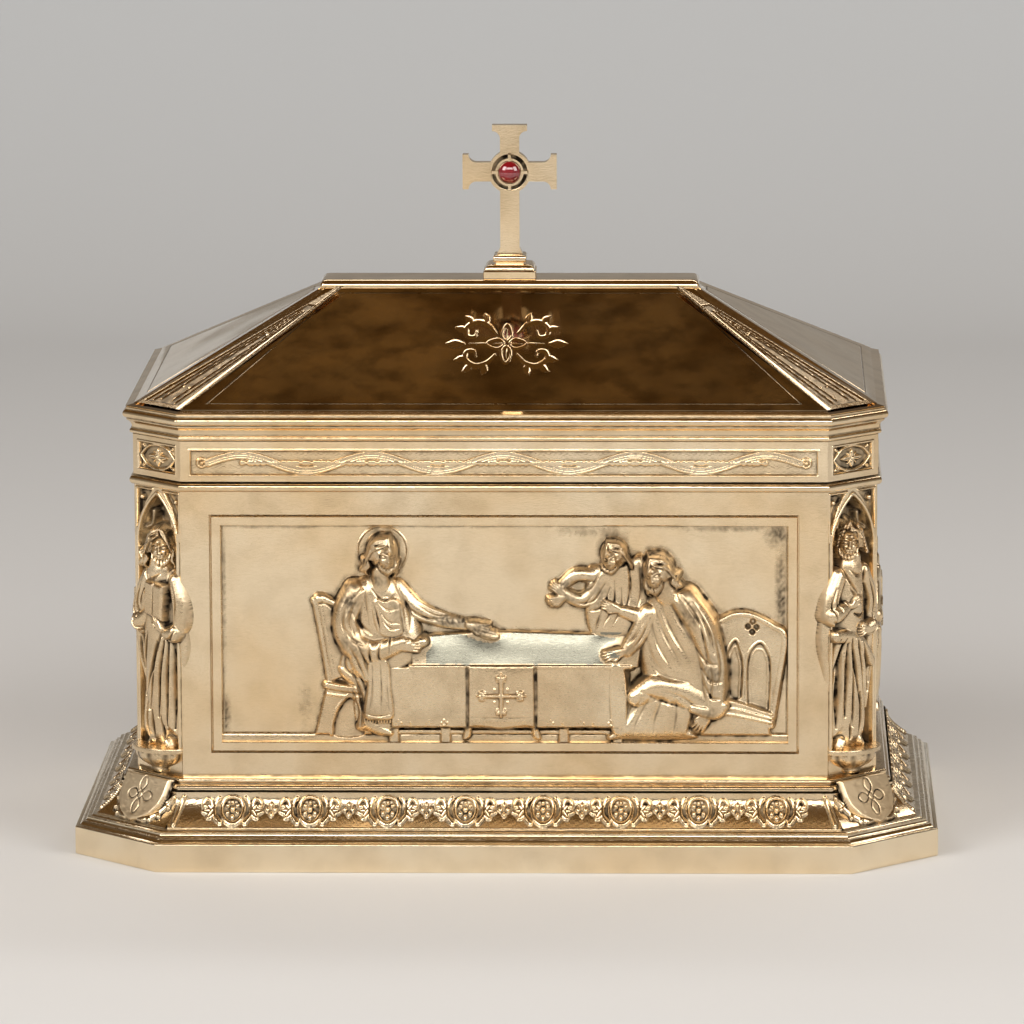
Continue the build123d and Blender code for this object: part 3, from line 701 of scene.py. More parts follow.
for side in MAIN_SIDES:
    work, dark = cove_ornament(side)
    place = cove_place(side)
    piece = sheet_piece(f"foot_ornament_{SIDE_NAMES[side]}", work,
                        lambda u, v, h: fit_to_mitre(place(u, v, h), side), chased, dark)
    stands_for(piece, "casket", "chased_gilt", f"foot_cove_{SIDE_NAMES[side]}")

# ---- Corner shields of the foot ----
# At each canted corner a plain heater shield leans over the hollow, with a leaf curling out
# from under each side. The shield carries only a small engraved four-petalled flower.
SHIELD_HALF = 7.8


def foot_corner(side):
    """The corner length of the hollow with its two leaves."""
    half = side_length(side, COVE_FOOT) / 2
    work = Chasing((-half, half), (0.0, cove_height), 0.15)
    for way in (1, -1):
        work.stroke([(way * 9.6, 6.4), (way * 8.2, 4.6), (way * 6.3, 2.6), (way * 3.6, 1.2),
                     (way * 1.2, 0.9)],
                    [0.5, 0.9, 1.2, 1.0, 0.4], 0.9, flat=2.5)
        work.press([(way * 9.0, 5.6), (way * 6.4, 2.7), (way * 2.6, 1.1)], 0.22, 0.4)
        for u, v in ((8.9, 3.6), (7.6, 1.7), (5.6, 0.8)):
            work.stroke([(way * (u - 1.3), v + 0.9), (way * u, v)], [0.7, 0.35], 0.8, flat=2.5)
    return work


def shield_outline(half, top, foot):
    """A heater shield's outline."""
    waist = foot + 0.62 * (top - foot)
    right = [(half, top), (half, waist), (0.93 * half, foot + 0.42 * (top - foot)),
             (0.70 * half, foot + 0.2 * (top - foot)), (0.36 * half, foot + 0.06 * (top - foot)), (0, foot)]
    return right + [(-u, v) for u, v in reversed(right[:-1])]


def corner_shield():
    """The shield: a slightly crowned plate with an engraved four-petalled flower."""
    top = level("foot_corner_front_right", 1) - cove_low
    work = Chasing((-SHIELD_HALF - 0.4, SHIELD_HALF + 0.4), (-0.2, top + 0.3), 0.14, ground=-1.2)
    outline = shield_outline(SHIELD_HALF, top, 0.1)
    work.pad(outline, 1.35, lift=-1.2, edge=0.7, smooth=False, blend=0.05)
    work.h += 0.25 * np.clip(1 - (work.U / SHIELD_HALF) ** 2, 0, 1) * (work.h > -0.4)
    mid = 0.56 * top
    for a in np.arange(4) * math.pi / 2:
        petal = [(0.5 * math.cos(a + b) * r + 0.4 * math.cos(a),
                  mid + 0.5 * math.sin(a + b) * r + 0.4 * math.sin(a))
                 for b, r in ((0, 1.0), (0.55, 4.0), (0.25, 6.2), (0, 7.2), (-0.25, 6.2), (-0.55, 4.0))]
        work.press(petal, 0.17, 0.26, closed=True, stain=0.8)
    work.press(circle(0, mid, 0.75), 0.15, 0.22, closed=True, stain=0.8)
    return work, top


shield_work, shield_top = corner_shield()
shield_face = silver_gilt("shield_gilt", rough=0.42, scratch=0.08, pitted=0.08)


def shield_place(side):
    """The shield leans in as it rises, clear of the cap moulding's beads."""
    def place(u, v, h):
        lean = np.clip(v / shield_top, 0, 1)
        inset = COVE_FOOT - 0.7 + (10.6 - COVE_FOOT + 0.7) * lean ** 0.85
        return on_side(side, u, cove_low + v + 0.5 * h, inset - 0.86 * h)
    return place


for side in CORNER_SIDES:
    place = cove_place(side)
    corner = sheet_piece(f"foot_leaf_corner_{SIDE_NAMES[side]}", foot_corner(side),
                         lambda u, v, h: fit_to_mitre(place(u, v, h), side), chased)
    shield = sheet_piece(f"foot_shield_{SIDE_NAMES[side]}", shield_work, shield_place(side), shield_face,
                         floor=-1.15)
    shield.parent = corner
    stands_for(corner, "casket", "chased_gilt", f"foot_corner_{SIDE_NAMES[side]}")

# ---- Cap moulding of the foot ----
# Two small half-round beads and a fillet above the ornament, planed in one length per side
# and mitred. The walls stand on it.
CAP_INNER = 27.0
cap_low, cap_high = level("foot_cap_moulding", 0), level("foot_cap_moulding", 1)
cap = moulding("foot_cap", rounded(
    (12.4, cap_low), ((11.0, cap_low + 0.85), (12.0, cap_low + 1.6)), (12.5, cap_low + 1.65),
    (12.5, cap_low + 1.9), ((11.9, cap_low + 2.45), (12.5, cap_low + 2.95)), (13.3, cap_high),
    (CAP_INNER, cap_high), (CAP_INNER, cap_low)), polished,
    dark=((cap_low, 0.3, 0.7), (cap_low + 1.75, 0.12, 0.75), (cap_high, 0.12, 0.6)), edge=0.06)
stands_for(cap, "casket", "polished_gilt", "foot_cap_moulding")

# ---- Base plate, floor plate and their screws ----
# Plain rolled brass sheet, cut to the octagon, held up by pan-head screws. They are the CAD
# pieces themselves in a brushed brass finish.


def plain_brass(name):
    """Rolled brass sheet, not gilt: straight brushing and a few dull patches."""
    material, nodes, links = shader(name)
    brass = nodes["Principled BSDF"]
    brass.inputs["Metallic"].default_value = 1.0
    patches = spread(nodes, links, clouds(nodes, links, 45, 5), 0.35, 0.7)
    links.new(mixed(nodes, links, patches, (0.62, 0.44, 0.20), (0.40, 0.27, 0.12)),
              brass.inputs["Base Color"])
    grain = clouds(nodes, links, 700, 2, (0.04, 1, 1))
    links.new(spread(nodes, links, grain, 0.3, 0.7, 0.26, 0.44), brass.inputs["Roughness"])
    links.new(bumped(nodes, links, grain, 0.12, 0.0002), brass.inputs["Normal"])
    return material


def finish_cad(node, material):
    """A CAD piece that shows as it is, in a better finish."""
    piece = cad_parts[node]
    piece.data.materials.clear()
    piece.data.materials.append(material)


sheet_brass = plain_brass("sheet_brass")
for node in ("base_plate", "base_screws", "floor_screws", "cross_nut", "hinge_pin"):
    finish_cad(node, sheet_brass)
inside_gilt = silver_gilt("inside_gilt", rough=0.3, colour=(0.86, 0.66, 0.36), warm=(0.78, 0.55, 0.26))
finish_cad("floor_plate", inside_gilt)
finish_cad("inner_liner", inside_gilt)
finish_cad("lid_bezel", inside_gilt)

# ---- Wall frames ----
# Four flat plates with a pocket for the plaque, soldered to the corner posts. Their faces are
# stoned flat and polished, so they show faint waves and hairlines.
flat_gilt = silver_gilt("flat_gilt", rough=0.2, wave=0.10, scratch=0.10, stain=0.1)
for side in MAIN_SIDES:
    finish_cad(f"wall_{SIDE_NAMES[side]}", flat_gilt)

# ---- Front plaque ----
# A plate of silver, cast in high relief and chased, then gilded and let into the front wall.
# It shows a man breaking bread at a table with two companions, all with plain ideal faces.
WALL_INSET = 14.3
PLAQUE_HALF, PLAQUE_LOW, PLAQUE_HIGH = 67.375, 25.5, 80.5
PLAQUE_BORDER, PLAQUE_RECESS, PLAQUE_SHEET = 2.3, 2.0, 3.2
FIELD_INSET = WALL_INSET + PLAQUE_RECESS


def cut(work, outline, floor, smooth=True):
    """Open a shape through the modelling down to a floor."""
    outline = course(outline, closed=True, per_span=5)[0] if smooth else np.asarray(outline, float)
    box = work.around(outline, 0.4)
    depth = work.inside(box, outline)
    work.h[box] = np.minimum(work.h[box], floor + 4 * np.maximum(0, 0.15 - depth))


def lines(work, paths, width, depth, stain=0.1):
    """Several soft chased lines; a negative depth raises them."""
    for path in paths:
        count = len(path)
        ends = np.array([0.35] + [1.0] * (count - 2) + [0.3]) if count > 2 else np.array([0.9, 0.4])
        work.press(path, width * (0.6 + 0.4 * ends), depth * ends, stain=stain)


def head(work, u, v, size, turn, tilt=0.0, lift=0.0, beard=0.5, hair="long", crown=1.0):
    """A plain ideal head, size millimetres high; turn -1..1 looks left..right."""
    c, s = math.cos(math.radians(tilt)), math.sin(math.radians(tilt))

    def at(x, y):
        return u + size * (x * c - y * s), v + size * (x * s + y * c)

    def raise_up(points, width, height):
        work.press([at(*p) for p in points], width * size, -height * size)

    def lock(points, radius, rise, groove=0.035):
        work.stroke([at(*p) for p in points], [r * size for r in radius], [r * size for r in rise], lift,
                    blend=0.05)
        work.press([at(*p) for p in points], 0.018 * size, groove * size, stain=0.25)

    side = 1 if turn >= 0 else -1
    bulk = abs(turn)
    back = -side * bulk
    work.dome(at(0.10 * back, 0.10), (0.33 + 0.07 * bulk) * size, 0.40 * size, 0.44 * size, lift, tilt)
    work.dome(at(0.07 * turn, 0.0), 0.25 * size, 0.38 * size, 0.55 * size, lift, tilt, flat=2.3)
    x = 0.13 * turn
    near, far = x - 0.125 * side * (1 + 0.15 * bulk), x + 0.125 * side * (1 - 0.25 * bulk)
    for eye, wide in ((near, 0.075), (far, 0.075 * (1 - 0.3 * bulk))):
        work.press([at(eye - 0.4 * wide, 0.035), at(eye + 0.4 * wide, 0.035)], 0.062 * size, 0.055 * size)
        raise_up([(eye - 1.1 * wide, 0.085), (eye, 0.110), (eye + 1.1 * wide, 0.085)], 0.032, 0.040)
        raise_up([(eye - 0.35 * wide, 0.030), (eye + 0.35 * wide, 0.030)], 0.034, 0.042)
        work.press([at(eye - wide, 0.010), at(eye, -0.008), at(eye + wide, 0.010)], 0.014 * size,
                   0.028 * size, stain=0.5)
        work.press([at(eye - wide, 0.048), at(eye, 0.066), at(eye + wide, 0.048)], 0.013 * size,
                   0.022 * size, stain=0.5)
    nose = x + 0.045 * turn
    raise_up([(x, 0.085), (0.5 * (x + nose), 0.0), (nose, -0.085)], 0.036, 0.085)
    raise_up([(nose - 0.04, -0.095), (nose, -0.11), (nose + 0.04, -0.095)], 0.028, 0.045)
    work.press([at(nose - 0.055, -0.125), at(nose + 0.055, -0.125)], 0.016 * size, 0.035 * size, stain=0.4)
    for cheek in (near - 0.03 * side, far + 0.01 * side):
        raise_up([(cheek, -0.07), (cheek, -0.11)], 0.075, 0.030)
    raise_up([(x - 0.055, -0.168), (x + 0.02 * turn, -0.160), (x + 0.055, -0.168)], 0.020, 0.030)
    raise_up([(x - 0.045, -0.212), (x + 0.045, -0.212)], 0.024, 0.034)
    work.press([at(x - 0.07, -0.190), at(x + 0.07, -0.190)], 0.013 * size, 0.035 * size, stain=0.5)
    if beard:
        drop = -0.38 - 0.20 * beard
        for k in (0, 6, 1, 5, 2, 4, 3):
            t = (k - 3) / 3
            root = (x + 0.215 * t, -0.13 - 0.14 * (1 - abs(t) ** 2))
            bend = (x + 0.19 * t + 0.015 * math.sin(5 * k),
                    0.45 * root[1] + 0.55 * drop * (1 - 0.25 * abs(t)))
            tip = (x + 0.09 * t, drop * (1 - 0.18 * abs(t)))
            lock([root, bend, tip], (0.045, 0.062, 0.025), (0.40, 0.44, 0.30))
        for way in (-1, 1):
            lock([(x + 0.015 * way, -0.142), (x + 0.07 * way, -0.158), (x + 0.12 * way, -0.215)],
                 (0.022, 0.030, 0.016),
                 (0.545, 0.53, 0.45), 0.02)
    else:
        raise_up([(x - 0.02, -0.29), (x + 0.02, -0.29)], 0.06, 0.05)
    part = (0.10 * turn, 0.43)
    curly = hair == "curly"
    for way in (-1, 1):
        near_side = way == -side
        for k in range(7):
            if not near_side and k > 5 - 2 * bulk:
                continue
            reach = 0.24 + 0.020 * k + 0.05 * bulk * near_side
            wave = 0.018 * math.sin(2.4 * k)
            top = (part[0] + 0.012 * way * k, part[1] + 0.045 - 0.030 * k)
            bend = (way * (0.14 + 0.018 * k) + 0.09 * back, 0.40 - 0.050 * k + wave)
            low = (way * reach + 0.10 * back, 0.24 - 0.078 * k)
            end = (way * (reach + 0.03) + 0.10 * back, 0.15 - 0.085 * k - wave)
            if curly:
                for step, (px, py) in enumerate((top, bend, low)):
                    work.dome(at(px, py + 0.02), 0.066 * size, 0.066 * size,
                              (0.56, 0.52, 0.42)[step] * size, lift, blend=0.04)
                    work.press([at(px - 0.02, py + 0.03), at(px + 0.025, py + 0.01)], 0.014 * size,
                               0.03 * size, stain=0.3)
            else:
                lock([top, bend, low, end], (0.036, 0.050, 0.048, 0.028),
                     (0.56 * crown, 0.55 * crown, 0.46, 0.34))
    for k in range(4):
        out = -side * (0.185 + 0.028 * k) + 0.09 * back
        lock([(part[0] - side * 0.03, 0.40 - 0.03 * k), (out + side * 0.03, 0.26), (out, 0.08),
              (out - side * 0.02, -0.11)],
             (0.040, 0.048, 0.046, 0.026), (0.54, 0.50 - 0.02 * k, 0.46 - 0.02 * k, 0.36))
    if hair == "long":
        for way in (-1, 1):
            near_side = way == -side
            for k in range(5 if near_side else 2):
                root = way * (0.27 + 0.030 * k) + 0.10 * back
                sway = 0.035 * math.cos(1.7 * k)
                lock([(root, 0.08 - 0.05 * k), (root + way * (0.045 + sway), -0.12),
                      (root + way * 0.01, -0.26),
                      (root + way * (0.06 + sway), -0.40), (root + way * 0.02, -0.52 + 0.02 * k)],
                     (0.040, 0.052, 0.050, 0.046, 0.022),
                     (0.42 - 0.03 * k, 0.42 - 0.03 * k, 0.38, 0.34, 0.2))
    elif not curly:
        for k in range(4):
            root = -side * (0.30 + 0.02 * k) + 0.10 * back
            lock([(root, 0.12 - 0.08 * k), (root - side * 0.03, 0.02 - 0.09 * k), (root, -0.07 - 0.09 * k)],
                 (0.040, 0.045, 0.022), (0.42, 0.40, 0.28))


def hand(work, wrist, knuckles, lift, size=1.0, thumb=1, curl=0.8):
    """A hand that reaches from the wrist to its knuckles, with four fingers and a thumb."""
    (x0, y0), (x1, y1) = wrist, knuckles
    run = math.dist(wrist, knuckles)
    ax, ay = (x1 - x0) / run, (y1 - y0) / run
    work.stroke([wrist, (x0 + 0.6 * (x1 - x0), y0 + 0.6 * (y1 - y0)), knuckles],
                [0.9 * size, 1.35 * size, 1.25 * size],
                0.8 * size, lift, blend=0.2, flat=2.6)
    for k in range(4):
        off = (k - 1.5) * 0.62 * size
        bx, by = x1 - ay * off, y1 + ax * off
        reach = (2.3 - 0.35 * abs(k - 1.3)) * size
        tip = (bx + ax * reach - ay * 0.25 * off, by + ay * reach + ax * 0.25 * off)
        middle = (0.5 * (bx + tip[0]), 0.5 * (by + tip[1]))
        work.stroke([(bx - 0.4 * ax, by - 0.4 * ay), middle, tip], [0.36 * size, 0.34 * size, 0.24 * size],
                    [0.75 * size, 0.9 * size * curl, 0.45 * size], lift + 0.1, blend=0.05)
    tx, ty = x0 + 0.55 * (x1 - x0) - thumb * ay * 1.1 * size, y0 + 0.55 * (y1 - y0) + thumb * ax * 1.1 * size
    work.stroke([(tx, ty),
                 (tx + (1.1 * ax - thumb * 0.5 * ay) * size, ty + (1.1 * ay + thumb * 0.5 * ax) * size),
                 (tx + 2.0 * ax * size, ty + 2.0 * ay * size)], [0.4 * size, 0.36 * size, 0.26 * size],
                0.8 * size, lift, blend=0.08)


def chair_left(work):
    """The chair of the man on the left: a panelled side with a pointed arch through it."""
    work.pad([(-41.2, 40.6), (-43.9, 29.2), (-30.5, 29.2), (-30.5, 40)], 1.5, edge=0.7, smooth=False)
    work.pad([(-43.9, 60.2), (-41.2, 60.4), (-36, 57), (-34, 44), (-40.3, 41.4), (-42.0, 52)], 1.2, edge=0.8,
             smooth=False)
    work.stroke([(-43.4, 60.2), (-41.8, 51), (-40.3, 41.6)], [0.7, 0.6, 0.6], 0.55, 1.15)
    work.stroke([(-42.2, 59.6), (-40.6, 51), (-39.2, 43.2)], 0.28, 0.3, 1.15)
    work.stroke([(-43.6, 60.6), (-42.2, 61.3), (-40, 60.6), (-37.5, 59.6)], [0.9, 1.0, 0.8, 0.6], 0.7, 1.0)
    work.dome((-42.6, 61.2), 1.25, 1.1, 1.0, 1.1)
    work.stroke([(-40.9, 41.0), (-36, 40.2), (-30.5, 39.6)], 0.9, 0.9, 1.3, flat=3)
    work.stroke([(-40.9, 38.9), (-36, 38.3), (-31, 38.0)], 0.35, 0.4, 1.4)
    arch = [(-39.3, 29.0), (-38.9, 33.5), (-37.3, 36.6), (-35.5, 38.0), (-33.9, 35.8), (-33.0, 32.6),
            (-32.8, 29.0)]
    cut(work, arch, 0.25)
    work.stroke([(-40.0, 29.4), (-39.6, 33.8), (-37.7, 37.0), (-35.5, 38.9), (-33.3, 36.2),
                 (-32.3, 32.8)], 0.3, 0.35, 1.4)


def man_left(work):
    """The man who breaks the bread: seated, turned to the right, with both hands on the table."""
    work.stroke(circle(-28.0, 72.2, 5.75, 20), 0.24, 0.26, closed=True, blend=0.05)
    work.stroke([(-25, 63), (-20, 58.5), (-14, 56.2), (-9, 55.2)], [3.0, 2.4, 1.9, 1.5],
                [2.0, 1.9, 1.7, 1.5], 0.2)
    lines(work, [[(-24, 61), (-19, 57.2), (-13, 55.4)], [(-22, 58.8), (-17, 56.6), (-12, 56.9)],
                 [(-20, 60.2), (-16, 57.9), (-12, 57.3)]], 0.32, 0.5)
    work.pad([(-31, 66.6), (-34.6, 65.4), (-37.2, 62.4), (-37.8, 57), (-37.5, 50), (-38.4, 46),
              (-37.2, 42.8), (-33, 41.4),
              (-27, 41.8), (-22, 44.5), (-19.2, 49), (-18.8, 54), (-20.6, 58), (-22.4, 62),
              (-24.4, 65.4), (-27, 66.4)],
             3.1, edge=4.2)
    work.pad([(-38.2, 46), (-37.6, 42.6), (-33.5, 39), (-33.8, 34), (-34.3, 30.6), (-30, 29.6),
              (-25.5, 30.4), (-25, 36),
              (-25, 43), (-30, 47)], 2.6, edge=2.4)
    work.stroke([(-34.5, 63.2), (-36.2, 58.5), (-36.0, 53.5), (-33.8, 50.2)], [2.3, 2.9, 3.1, 2.9],
                [1.6, 1.9, 2.1, 2.1], 2.4,
                blend=0.5)
    work.stroke([(-34.6, 50.6), (-30.5, 49.2), (-26.5, 50.3), (-23.4, 51.4)], [3.0, 2.8, 2.3, 1.7],
                [2.0, 2.0, 1.8, 1.4], 2.8,
                blend=0.4)
    work.stroke([(-34.0, 50.5), (-33.2, 46.5), (-31.8, 43.2)], [2.2, 2.1, 1.1], [1.7, 1.6, 1.0], 2.6,
                blend=0.3)
    work.stroke([(-31.2, 50.5), (-30.0, 46.8), (-29.4, 44.9)], [1.6, 1.5, 0.7], [1.6, 1.4, 0.9], 2.7,
                blend=0.3)
    lines(work, [[(-35.6, 50.8), (-33.6, 46.8), (-32.0, 43.0)],
                 [(-33.8, 51.5), (-32.0, 47.4), (-31.1, 43.8)],
                 [(-31.0, 51.8), (-30.8, 48.2), (-30.1, 45.0)],
                 [(-28.4, 51.9), (-28.8, 48.4), (-27.9, 47.0)],
                 [(-26.2, 52.3), (-26.4, 49.2)]], 0.3, 0.75, stain=0.25)
    lines(work, [[(-35.8, 61.8), (-37.2, 57), (-36.2, 52.6)], [(-33.8, 61.4), (-35.2, 57.2), (-34.4, 53.2)],
                 [(-32.4, 60.6), (-33.2, 56.8), (-32.2, 53.6)],
                 [(-34.8, 58.6), (-33.0, 55.6), (-30.4, 53.4)],
                 [(-36.6, 55.0), (-34.6, 52.2), (-32.4, 51.2)]], 0.34, 0.6)
    lines(work, [[(-35.0, 60.4), (-36.3, 56.4), (-35.2, 52.8)],
                 [(-33.2, 59.4), (-34.2, 56.4), (-33.2, 53.4)]],
          0.30, -0.35)
    work.pad([(-30.2, 60.6), (-28.6, 53.4), (-23.2, 53.6), (-23.6, 60.4), (-26.8, 62.0)], 0.7, 2.9,
             edge=0.7, blend=0.1)
    lines(work, [[(-30.2, 63.8), (-28.7, 61.9), (-26.9, 61.4), (-25.0, 62.6)],
                 [(-29.9, 60.5), (-29.0, 57), (-28.4, 53.6)],
                 [(-23.8, 60.2), (-23.4, 57), (-23.0, 54)]], 0.24, 0.65, stain=0.4)
    lines(work, [[(-28.6, 59.6), (-26.8, 56.6), (-24.0, 56.0)],
                 [(-28.0, 57.0), (-26.2, 54.9), (-24.0, 54.8)],
                 [(-28.9, 61.0), (-26.8, 59.2), (-24.2, 59.4)]], 0.28, 0.45)
    lines(work, [[(-31.4, 65.2), (-31.8, 61.0), (-31.0, 56.0)],
                 [(-22.8, 61.8), (-21.6, 57.6), (-21.4, 54.2)],
                 [(-24.6, 64.2), (-22.4, 60.0), (-21.0, 57.0)]], 0.3, 0.5)
    lines(work, [[(-36.4, 48.8), (-36.6, 45.4), (-33.8, 42.8)], [(-35.0, 44.8), (-33.0, 38), (-33.2, 31)],
                 [(-33.0, 43.5), (-31.4, 38), (-31.8, 30.6)], [(-31.8, 41.0), (-29.8, 36), (-29.6, 31)],
                 [(-34.8, 40.2), (-34.2, 35.0), (-34.0, 31.4)]], 0.36, 0.8, stain=0.2)
    work.pad([(-31.2, 47.0), (-26.8, 47.6), (-25.9, 41), (-25.4, 34.0), (-29.0, 33.2), (-32.3, 34.0),
              (-31.6, 41)],
             1.5, 2.4, edge=0.8, blend=0.1)
    lines(work, [[(-30.2, 46), (-30.4, 40), (-31.2, 34.6)], [(-28.4, 46.4), (-28.2, 40), (-28.4, 34.2)],
                 [(-27.0, 45.8), (-26.8, 40), (-26.4, 34.8)]], 0.3, 0.5)
    for k in range(11):
        u = -32.2 + 0.66 * k
        work.stroke([(u, 34.4), (u - 0.08, 32.6)], [0.24, 0.2], 0.8, 2.4, blend=0.03)
    lines(work, [[(-32.2, 35.0), (-29.0, 34.3), (-25.6, 35.0)]], 0.18, 0.35, stain=0.4)
    work.stroke([(-31.4, 32.2), (-29.2, 30.9), (-26.4, 30.0)], [1.4, 1.3, 0.8], 1.2, 1.8)
    lines(work, [[(-32.4, 64.0), (-35.0, 61.5)], [(-25.0, 66.0), (-24.0, 63.4)]], 0.3, 0.4)
    work.stroke([(-28.6, 67.6), (-28.2, 65.0)], [1.8, 2.0], 1.6, 2.0, blend=0.3)
    head(work, -27.3, 71.6, 9.6, 0.75, tilt=-4, lift=0.9, beard=0.55, hair="long")
    hand(work, (-25.2, 50.8), (-21.4, 50.6), 3.3, 0.95, thumb=1)
    lines(work, [[(-21.5, 51.2), (-19.0, 50.2)]], 0.3, -0.2)
    work.dome((-18.9, 51.5), 1.7, 1.4, 1.5, 2.2)
    hand(work, (-8.2, 55.3), (-5.4, 54.6), 2.0, 0.95, thumb=-1)
    work.dome((-3.6, 53.1), 2.6, 1.3, 1.1, 1.8, turn=-14)
    lines(work, [[(-5.6, 53.8), (-3.5, 53.3), (-1.6, 52.8)], [(-4.8, 52.6), (-3.0, 52.0)]], 0.25, 0.4,
          stain=0.3)


def table(work):
    """The table: its cloth with a stitched hem, and a narrow runner with a fleury cross."""
    for u in (-25.5, -13.6, 13.6, 26.0):
        work.stroke([(u, 31.5), (u, 28.0)], 1.3, 1.5, 0.3, flat=4)
    work.stroke([(-24, 30.0), (26, 30.0)], 0.6, 0.8, 0.4, flat=4)
    work.pad([(-21.5, 52.8), (-2, 53.9), (32, 53.0), (31, 45.2), (-21.5, 45.2)], 1.5, edge=0.5, smooth=False)
    top = (work.V > 45.2) & (work.V < 54.1) & (work.U > -21.5) & (work.U < 32)
    top &= (work.h < 3.0) & (work.h > 0.8)
    slope = 1.3 + (54.0 - work.V) * 0.21
    work.h = np.where(top, np.maximum(work.h, slope * np.clip((work.h - 0.7) / 0.8, 0, 1)), work.h)
    work.pad([(-27.0, 46.0), (26.6, 46.0), (26.2, 31.0), (-26.2, 31.0)], 3.1, edge=0.7, smooth=False)
    work.stroke([(-21.5, 45.7), (29, 45.7)], 0.5, 0.45, 2.9, flat=3)
    for path in ([(25.0, 44.8), (24.6, 38), (25.4, 31.4)], [(26.4, 45.0), (26.6, 38), (27.2, 31.6)],
                 [(-22.6, 44.4), (-22.0, 38), (-22.4, 31.6)], [(-13.0, 44.6), (-12.4, 38), (-13.2, 31.4)],
                 [(12.4, 44.6), (12.0, 38), (12.8, 31.4)], [(19.6, 45.0), (19.2, 38), (19.8, 31.4)]):
        work.press(path, [0.4, 1.0, 1.3], [0.05, 0.25, 0.4])
        work.press([(u + 1.5, v) for u, v in path], [0.5, 1.0, 1.2], [-0.05, -0.2, -0.3])
    work.pad([(24.4, 45.6), (27.6, 45.2), (28.2, 38), (27.8, 30.8), (24.8, 31.0)], 0.7, 2.7, edge=0.7)
    for k in range(15):
        u = -24.4 + 3.5 * k
        if -9.2 < u < 8.0:
            continue
        for du, dv in ((0.62, 0), (-0.62, 0), (0, 0.62), (0, -0.62)):
            work.dome((u + du, 32.6 + dv), 0.27, 0.27, 0.35, 3.0, blend=0.02)
    work.press([(-26.4, 31.5), (0, 31.4), (26.2, 31.5)], 0.14, 0.2, stain=0.6)
    work.pad([(-8.1, 45.9), (6.8, 45.9), (6.9, 31.6), (4.9, 31.9), (-0.7, 31.2), (-6.4, 31.9), (-8.3, 31.6)],
             0.55, 2.95, edge=0.3, smooth=False, blend=0.04)
    for u in (-8.6, 7.2):
        work.stroke([(u, 45.6), (u, 31.0)], 0.22, 0.35, 2.75, blend=0.05)
        work.press([(u, 45.4), (u + 0.1, 38), (u, 31.2)], 0.42, 0.5, stain=0.95)
    for way, u in ((-1, -8.2), (1, 6.9)):
        work.stroke([(u, 31.9), (u + 0.4 * way, 29.6), (u + 0.9 * way, 28.7)], [0.7, 0.9, 0.5], 1.2, 1.2)
    for k in range(17):
        work.dome((-7.2 + 0.81 * k, 33.0), 0.24, 0.24, 0.3, 3.4, blend=0.02)
    lines(work, [[(-7.6, 34.0), (-0.7, 33.9), (6.3, 34.0)]], 0.13, 0.22, stain=0.5)
    c = (-0.7, 39.1)
    for dx, dy, reach in ((1, 0, 5.6), (-1, 0, 5.6), (0, 1, 5.2), (0, -1, 5.0)):
        tip = (c[0] + dx * reach, c[1] + dy * reach)
        neck = (c[0] + dx * (reach - 1.9), c[1] + dy * (reach - 1.9))
        work.stroke([c, neck], 0.5, 0.85, 3.4, flat=3, blend=0.03)
        work.stroke([neck, tip], [0.5, 0.2], 0.85, 3.4, blend=0.03)
        for way in (-1, 1):
            curl = (neck[0] + dx * 0.5 - dy * way * 0.95, neck[1] + dy * 0.5 + dx * way * 0.95)
            bend = (neck[0] + dx * 1.1 - dy * way * 0.75, neck[1] + dy * 1.1 + dx * way * 0.75)
            work.stroke([neck, bend, curl], [0.42, 0.42, 0.3], 0.75, 3.4, blend=0.03)
        work.stroke([(neck[0] - dy * 1.0, neck[1] + dx * 1.0), (neck[0] + dy * 1.0, neck[1] - dx * 1.0)],
                    0.2, 0.45, 3.4, blend=0.03)
    for dx, dy in ((1.5, 1.5), (-1.5, 1.5), (1.5, -1.5), (-1.5, -1.5)):
        work.dome((c[0] + dx, c[1] + dy), 0.36, 0.36, 0.45, 3.4, blend=0.02)


